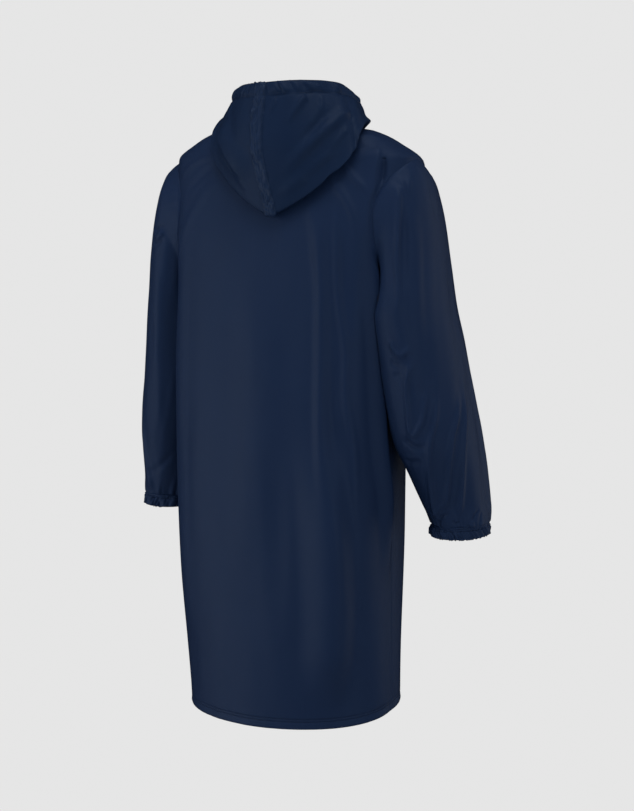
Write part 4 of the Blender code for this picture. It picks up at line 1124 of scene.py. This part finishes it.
def hood_rows(side):
    """Profiles from the neck seam out under the bag, round its lower edge and up to the rim."""
    steps = np.linspace(0, 1, HOOD_STATIONS + 1)
    places = 2 * (HOOD_EVEN * steps + (1 - HOOD_EVEN) * steps ** HOOD_CROWD)
    table = np.array(HOOD)
    (fold_out, fold_back, fold_up, rim_out, rim_back, rim_up, thick, belly, swing,
     rim_swing) = (curve(table[:, 0], column, places) for column in table.T[1:])
    start = np.concatenate((body_points([0.0], places[places <= 1], side, True)[0],
                            body_points([0.0], 2 - places[places > 1], side, False)[0]))
    start[:, 2] += HOOD_LIFT
    fold = np.stack((side * fold_out + swing, fold_back, fold_up), -1)
    rim = np.stack((side * rim_out + rim_swing, rim_back, rim_up + HOOD_TILT * side * rim_out), -1)
    thick, belly = thick[:, None], belly[:, None]
    along = unit(fold - start)
    outward = unit(start * (1, 1, 0))
    upward = outward + (0, 0, 1)
    face = unit(upward - along * (upward * along).sum(1, keepdims=True))
    standing = start + (outward * 0.25 + (0, 0, 1)) * HOOD_STAND
    under = (start + fold) / 2 + face * BAG_RISE
    turn_in = fold - along * thick * BAG_TURN - face * thick * BAG_DIP
    turn_out = fold - along * thick * BAG_TURN + face * thick
    full = (fold + rim) / 2 + face * belly
    full[:, 0] += HOOD_BOW * bell(places, 0.35)
    push = np.array([push_off(point, HOOD_CLEAR + HOOD_SPARE, FAR) for point in tilted(turn_in)])
    for _ in range(PUSH_ROUNDS):
        push[1:-1] = (push[:-2] + 2 * push[1:-1] + push[2:]) / 4
    knots = [start, standing, under, turn_in + push, fold + push, turn_out + push,
             full + push / 2, rim]
    shares = np.interp(np.linspace(0, 1, HOOD_POINTS), np.linspace(0, 1, len(HOOD_PROFILE)),
                       HOOD_PROFILE)
    rows = []
    for line in through(knots, lambda b, c: SPAN_STEPS).swapaxes(0, 1):
        walked = walk(line)
        rows.append([np.interp(shares * walked[-1], walked, line[:, k]) for k in range(3)])
    rows = np.array(rows).swapaxes(1, 2)
    rows[:, 1:] = tilted(rows[:, 1:])
    return rows


# Creases of the hood: the bag folded under on the left, and the pull of the casing on both.
HOOD_CREASES = {
    "right": (
        (0.0024, 0.012, 0.013, 0.3, 0.30, 0.35, (-0.156, 0.029, -0.009), (-0.142, 0.070, -0.033),
         (-0.111, 0.113, -0.069), (-0.076, 0.130, -0.102)),
        (0.0060, 0.014, 0.018, 0.2, 0.20, 0.50, (-0.140, 0.050, 0.024), (-0.124, 0.092, -0.006),
         (-0.099, 0.118, -0.038), (-0.069, 0.134, -0.071), (-0.044, 0.140, -0.092)),
        (0.0024, 0.008, 0.008, 0.4, 0.30, 0.40, (-0.148, 0.050, 0.004), (-0.140, 0.084, -0.024),
         (-0.122, 0.104, -0.052)),
        (-0.0040, 0.013, 0.013, 0.1, 0.30, 0.45, (-0.118, 0.080, 0.024), (-0.104, 0.106, -0.006),
         (-0.080, 0.126, -0.038)),
        (0.0055, 0.010, 0.014, 0.4, 0.10, 0.55, (-0.084, 0.104, 0.044), (-0.077, 0.111, 0.033),
         (-0.070, 0.123, 0.014), (-0.058, 0.133, -0.006)),
        (0.0022, 0.007, 0.008, 0.4, 0.15, 0.55, (-0.036, 0.127, 0.043), (-0.034, 0.134, 0.030),
         (-0.028, 0.140, 0.010)),
        (0.0020, 0.006, 0.007, 0.4, 0.12, 0.55, (-0.100, 0.086, 0.042), (-0.104, 0.090, 0.028),
         (-0.104, 0.098, 0.012)),
        (0.0028, 0.010, 0.012, 0.2, 0.00, 0.60, (0.000, 0.132, 0.016), (-0.014, 0.131, 0.012),
         (-0.028, 0.130, 0.012)),
        (0.0026, 0.016, 0.014, 0.1, 0.40, 0.40, (-0.088, 0.116, -0.090), (-0.066, 0.130, -0.108),
         (-0.044, 0.136, -0.122)),
    ),
    "left": (
        (0.0105, 0.042, 0.017, 0.1, 0.35, 0.30, (0.102, 0.088, 0.012), (0.083, 0.117, -0.027),
         (0.062, 0.128, -0.046), (0.036, 0.136, -0.072), (0.008, 0.139, -0.103)),
        (0.0028, 0.012, 0.010, 0.2, 0.00, 0.60, (0.000, 0.132, 0.016), (0.012, 0.132, 0.018)),
        (0.0018, 0.008, 0.010, 0.3, 0.30, 0.30, (0.098, 0.105, -0.040), (0.066, 0.124, -0.068),
         (0.028, 0.134, -0.098), (0.002, 0.138, -0.122)),
        (-0.0010, 0.014, 0.014, 0.1, 0.35, 0.45, (0.060, 0.122, 0.026), (0.050, 0.132, -0.010),
         (0.034, 0.138, -0.050)),
        (0.0022, 0.008, 0.008, 0.4, 0.12, 0.55, (0.074, 0.098, 0.042), (0.078, 0.104, 0.026),
         (0.076, 0.112, 0.008)),
        (0.0024, 0.012, 0.012, 0.2, 0.30, 0.45, (0.136, 0.046, 0.020), (0.134, 0.066, -0.002),
         (0.120, 0.088, -0.026)),
    ),
}
hoods = {}
for name, side in SIDES:
    form = Form(hood_rows(side), flip=side < 0)
    from_neck = form.u - form.u[:, :1]
    form.rows = rest(form.rows, HOOD_CLEAR * smooth(from_neck / 0.012))
    form.turn_out()
    hoods[name] = form
middle_line = (hoods["left"].rows[0] + hoods["right"].rows[0]) / 2
for seed, side, (name, form) in zip((51, 52), (1, -1), hoods.items()):
    shift = middle_line - form.rows[0]
    form.rows = form.rows + shift * smooth(1 - form.v / 0.010)[..., None]
    form.turn_out()
    for crease in HOOD_CREASES[name]:
        form.crease(*crease)
    u, v = form.u, form.v
    to_rim = u[:, -1:] - u
    from_neck = u - u[:, :1]
    form.high += waves(v, u, HOOD_WAVES, seed)
    by_stitches = np.exp(-np.abs(to_rim - CASING) / 0.009)
    form.high += by_stitches * waves(v + 0.4 * to_rim, to_rim, CASING_PUCKERS, seed)
    casing = smooth((CASING - to_rim) / 0.002)
    arch = np.sin(np.pi * np.clip(to_rim / CASING, 0, 1))
    slant = 2 * np.abs(noise((v - 0.7 * to_rim) / 0.012, to_rim / 0.06, seed + 6)) - 0.5
    form.high += casing * (CASING_SWELL * arch ** 0.7 + CASING_PLEAT * slant * arch)
    form.high -= CASING_GROOVE * bell(to_rim - CASING, 0.0014)
    form.high *= smooth(v / 0.004) * smooth((v[-1] - v) / 0.010)
    on_strip = smooth((STRIP_HALF - v) / 0.0009)
    pucker = (2 * np.abs(noise(u / 0.0070, side * v / 0.010 + 9, 60)) - 0.6
              + 0.6 * noise(u / 0.0040, side * v / 0.0045 + 9, 61))
    form.high += on_strip * (STRIP_PROUD + STRIP_PUCKER * pucker)
    form.high -= STRIP_GROOVE * bell(v - STRIP_STITCH, 0.0010) + SEAM_GROOVE * bell(v, 0.0010)
    beside = smooth((v - STRIP_HALF + 0.001) / 0.002)
    beside = beside * np.exp(-np.clip(v - STRIP_HALF, 0, None) / 0.008)
    form.high += beside * waves(u, v, BESIDE_STRIP, 0)
    form.high *= smooth(from_neck / 0.006)
    form.settle()
middle_line = (hoods["left"].rows[0] + hoods["right"].rows[0]) / 2
for name, form in hoods.items():
    form.rows[0] = middle_line
    form.turn_out()
    to_rim = form.u[:, -1:] - form.u
    wall = HOOD_WALL + (CASING_WALL - HOOD_WALL) * smooth((CASING - to_rim) / 0.002)
    half = shell("hood_cloth_" + name, form, wall, (HOOD_SHADED_SHELL, BACKING, STRIP))
    spots = np.empty(2 * len(half.data.loops), np.float32)
    half.data.uv_layers["cloth"].data.foreach_get("uv", spots)
    marks = np.empty(len(half.data.polygons), np.int32)
    half.data.polygons.foreach_get("material_index", marks)
    on_strip = (spots.reshape(-1, 4, 2)[:, :, 1].mean(1) < STRIP_HALF) & (marks == 0)
    marks[on_strip] = 2
    half.data.polygons.foreach_set("material_index", marks)
    dress(half, "hood_" + name)
lines = []
for form in hoods.values():
    lines.append(line_in(form, STRIP_STITCH, down=True, lift=STITCH_SUNK))
    lines.append(line_in(form, CASING, last=True, lift=STITCH_SUNK))
sew("hood_stitches", lines)


# ================================================================ zip
# A moulded zip sewn in behind the front edges: two woven tapes, small nylon teeth that lock down
# the middle, the box at the foot, and the metal slider with its pull tab at the top.
TAPE_INNER = 0.0010
TAPE_OUTER = 0.0150
TAPE_DEEP = 0.0010
TAPE_BEHIND = 0.0025
TAPE_COLUMNS = 12
ZIP_TOP = -0.0930
ZIP_FOOT = -LENGTH + 0.0400
ZIP_ROWS = 280
TOOTH_PITCH = 0.0030
TAPE_COLOUR = (0.0060, 0.0100, 0.0240)
TEETH_COLOUR = (0.0075, 0.0090, 0.0135)
METAL_COLOUR = (0.060, 0.062, 0.068)
RIB = 0.0002
RIB_PITCH = 0.0012
BEAD = 0.0003
TEETH_BEHIND = 0.0009
TOOTH_ASIDE = 0.0011
TOOTH_SIZE = {"high": 0.0017, "wide": 0.0036, "deep": 0.0024}

edge = fronts["left"].rows[:, 0]
heights = np.linspace(ZIP_FOOT, ZIP_TOP, ZIP_ROWS)
face = np.interp(heights, edge[:, 2], edge[:, 1])
TAPE = woven("zip_tape", TAPE_COLOUR, 0.62, RIB_PITCH, 0.0001, Specular_IOR_Level=0.3)
across = np.linspace(TAPE_INNER, TAPE_OUTER, TAPE_COLUMNS)
for name, side in SIDES:
    rows = np.broadcast_arrays(side * across, (face + TAPE_BEHIND)[:, None], heights[:, None])
    form = Form(np.stack(rows, -1), flip=side < 0)
    in_from_edge = across - TAPE_INNER
    ribs = np.cos(form.v / RIB_PITCH * 2 * np.pi) * np.exp(-in_from_edge / 0.0008)
    form.high += RIB * ribs + BEAD * bell(in_from_edge - 0.0006, 0.0006)
    form.settle()
    tape = shell("zip_tape_cloth_" + name, form, TAPE_DEEP, (TAPE, TAPE))
    dress(tape, "zip_tape_" + name)


def moulded(name, colour, roughness, **fixed):
    """Moulded plastic, or cast metal where it is metallic, with a faint uneven gloss."""
    finish = Finish(name, colour, roughness, **fixed)
    place = finish.node("TexCoord", {}, {}, 3)
    grain = finish.node("TexNoise", {}, {"Vector": place, "Scale": 1400.0, "Detail": 2.0})
    rubbed = finish.node("TexNoise", {}, {"Vector": place, "Scale": 220.0, "Detail": 3.0})
    finish.tint(rubbed * 0.6, [c * 1.7 for c in colour])
    finish.put(finish.shader.inputs["Roughness"], roughness - 0.10 + rubbed * 0.20)
    finish.relief(grain, 0.00004)
    return finish


TEETH = moulded("moulded_teeth", TEETH_COLOUR, 0.34, Specular_IOR_Level=0.5)
METAL = moulded("slider_metal", METAL_COLOUR, 0.32, Metallic=1.0)


def tooth_shape(add, given):
    """One tooth: a rounded block that reaches a little past the middle of the zip."""
    block = add("GeometryNodeMeshCube")
    size = add("ShaderNodeCombineXYZ", X=given["High"], Y=given["Wide"], Z=given["Deep"])
    sized = add("GeometryNodeTransform", Geometry=block.outputs["Mesh"],
                Scale=size.outputs["Vector"])
    split = add("GeometryNodeSubdivisionSurface", Mesh=sized.outputs["Geometry"], Level=1,
                Edge_Crease=0.55)
    aside = add("ShaderNodeCombineXYZ", Y=given["Aside"])
    placed = add("GeometryNodeTransform", Geometry=split.outputs["Mesh"],
                 Translation=aside.outputs["Vector"])
    return placed.outputs["Geometry"]


middle = np.stack((0 * heights, face + TEETH_BEHIND, heights), -1)
front_way = np.tile((0.0, -1.0, 0.0), (ZIP_ROWS, 1))
teeth, other = (repeated("teeth_" + name, [(middle, front_way)], tooth_shape, TOOTH_PITCH, TEETH,
                         start=start, aside=aside, **TOOTH_SIZE)
                for name, start, aside in (("left", 0.0, TOOTH_ASIDE),
                                           ("right", TOOTH_PITCH / 2, -TOOTH_ASIDE)))
both = [teeth, other]
with bpy.context.temp_override(active_object=teeth, object=teeth, selected_editable_objects=both,
                               selected_objects=both):
    bpy.ops.object.join()
teeth.name = "zip_teeth_row"
teeth.data.name = teeth.name
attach(teeth, "coat")
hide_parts("zip_teeth")
for name, finish in (("zip_box", TEETH), ("zip_slider", METAL), ("zip_pull", METAL)):
    piece = bpy.data.objects[name]
    piece.data.materials.clear()
    piece.data.materials.append(finish.material)


# ================================================================ studio
# A pale floor under a surround of the same paleness, three tall soft boxes round the coat and one
# over it. The surround also lights the coat, least from the side away from the camera.
FLOOR = -1.420
CAMERA_TURN = math.radians(212)
CAMERA_DROP = math.radians(7.5)
CAMERA_AWAY = 2.800
CAMERA_ACROSS = 0.033
CAMERA_UP = -0.130
LENS = 69.1
FILM = 36.0
FILL = 0.31
FILL_BEHIND = 0.02
FILL_TURN = (-0.75, 0.05)
PALE = (0.79, 0.79, 0.79, 1.0)
FLOOR_REACH = 14.0
LIT_MIDDLE = Vector((0.0, 0.0, -0.5))
SOFT_BOXES = (
    ("soft_box_left", 78, -0.8, 2.6, (1.6, 3.0), 20),
    ("soft_box_front", -20, -0.6, 3.2, (1.6, 3.0), 13),
    ("soft_box_right", -105, -0.3, 2.4, (1.6, 3.0), 7),
    ("soft_box_over", 0, 2.8, 1.0, (2.0, 2.0), 29),
)

toward = Vector((math.sin(CAMERA_TURN), -math.cos(CAMERA_TURN), 0.0))
across = Vector((math.cos(CAMERA_TURN), math.sin(CAMERA_TURN), 0.0))
eye = bpy.data.cameras.new("camera")
eye.sensor_fit = "VERTICAL"
eye.sensor_height = FILM
eye.lens = LENS
camera = stand("camera", eye)
camera.location = toward * CAMERA_AWAY + across * CAMERA_ACROSS + Vector((0, 0, CAMERA_UP))
sight = -toward * math.cos(CAMERA_DROP) - Vector((0, 0, math.sin(CAMERA_DROP)))
camera.rotation_euler = sight.to_track_quat("-Z", "Y").to_euler()
bpy.context.scene.camera = camera

PAPER = Finish("studio_paper", (0.0, 0.0, 0.0), 1.0, Specular_IOR_Level=0.0,
               Emission_Color=PALE, Emission_Strength=1.0)
mesh = bpy.data.meshes.new("studio_floor")
mesh.from_pydata([(x * FLOOR_REACH, y * FLOOR_REACH, FLOOR)
                  for x, y in ((-1, -1), (1, -1), (1, 1), (-1, 1))], [], [(0, 1, 2, 3)])
mesh.materials.append(PAPER.material)
floor = stand("studio_floor", mesh)
floor.visible_diffuse = floor.visible_glossy = False

# The surround looks pale everywhere, and lights the coat softly from all sides but the far one.
surround = bpy.data.worlds.new("surround")
surround.use_nodes = True
sky = surround.node_tree
seen = sky.nodes["Background"]
seen.inputs["Color"].default_value = PALE
way = add_node(sky, "ShaderNodeTexCoord", {}, {})
facing = add_node(sky, "ShaderNodeVectorMath", {"operation": "DOT_PRODUCT"},
                  {0: way.outputs["Generated"], 1: toward})
ramp = add_node(sky, "ShaderNodeMapRange", {"interpolation_type": "SMOOTHSTEP"},
                {"Value": facing.outputs["Value"], "From Min": FILL_TURN[0],
                 "From Max": FILL_TURN[1], "To Min": FILL_BEHIND, "To Max": FILL})
fill = add_node(sky, "ShaderNodeBackground", {}, {"Strength": ramp.outputs["Result"]})
ray = add_node(sky, "ShaderNodeLightPath", {}, {})
choice = add_node(sky, "ShaderNodeMixShader", {}, {
    0: ray.outputs["Is Camera Ray"], 1: fill.outputs["Background"], 2: seen.outputs["Background"]})
sky.links.new(choice.outputs["Shader"], sky.nodes["World Output"].inputs["Surface"])
bpy.context.scene.world = surround


# Each soft box: how far it is turned from the camera towards the picture's left, how high and how
# far away it stands, its width and height, and its power.
for name, turn, up, away, size, power in SOFT_BOXES:
    angle = CAMERA_TURN - math.radians(turn)
    place = Vector((math.sin(angle), -math.cos(angle), 0.0)) * away + Vector((0, 0, up))
    light = bpy.data.lights.new(name, "AREA")
    light.shape = "RECTANGLE"
    light.size, light.size_y = size
    light.energy = power
    box = stand(name, light)
    box.location = place
    box.rotation_euler = (LIT_MIDDLE - place).to_track_quat("-Z", "Y").to_euler()
bpy.context.scene.view_settings.view_transform = "Standard"
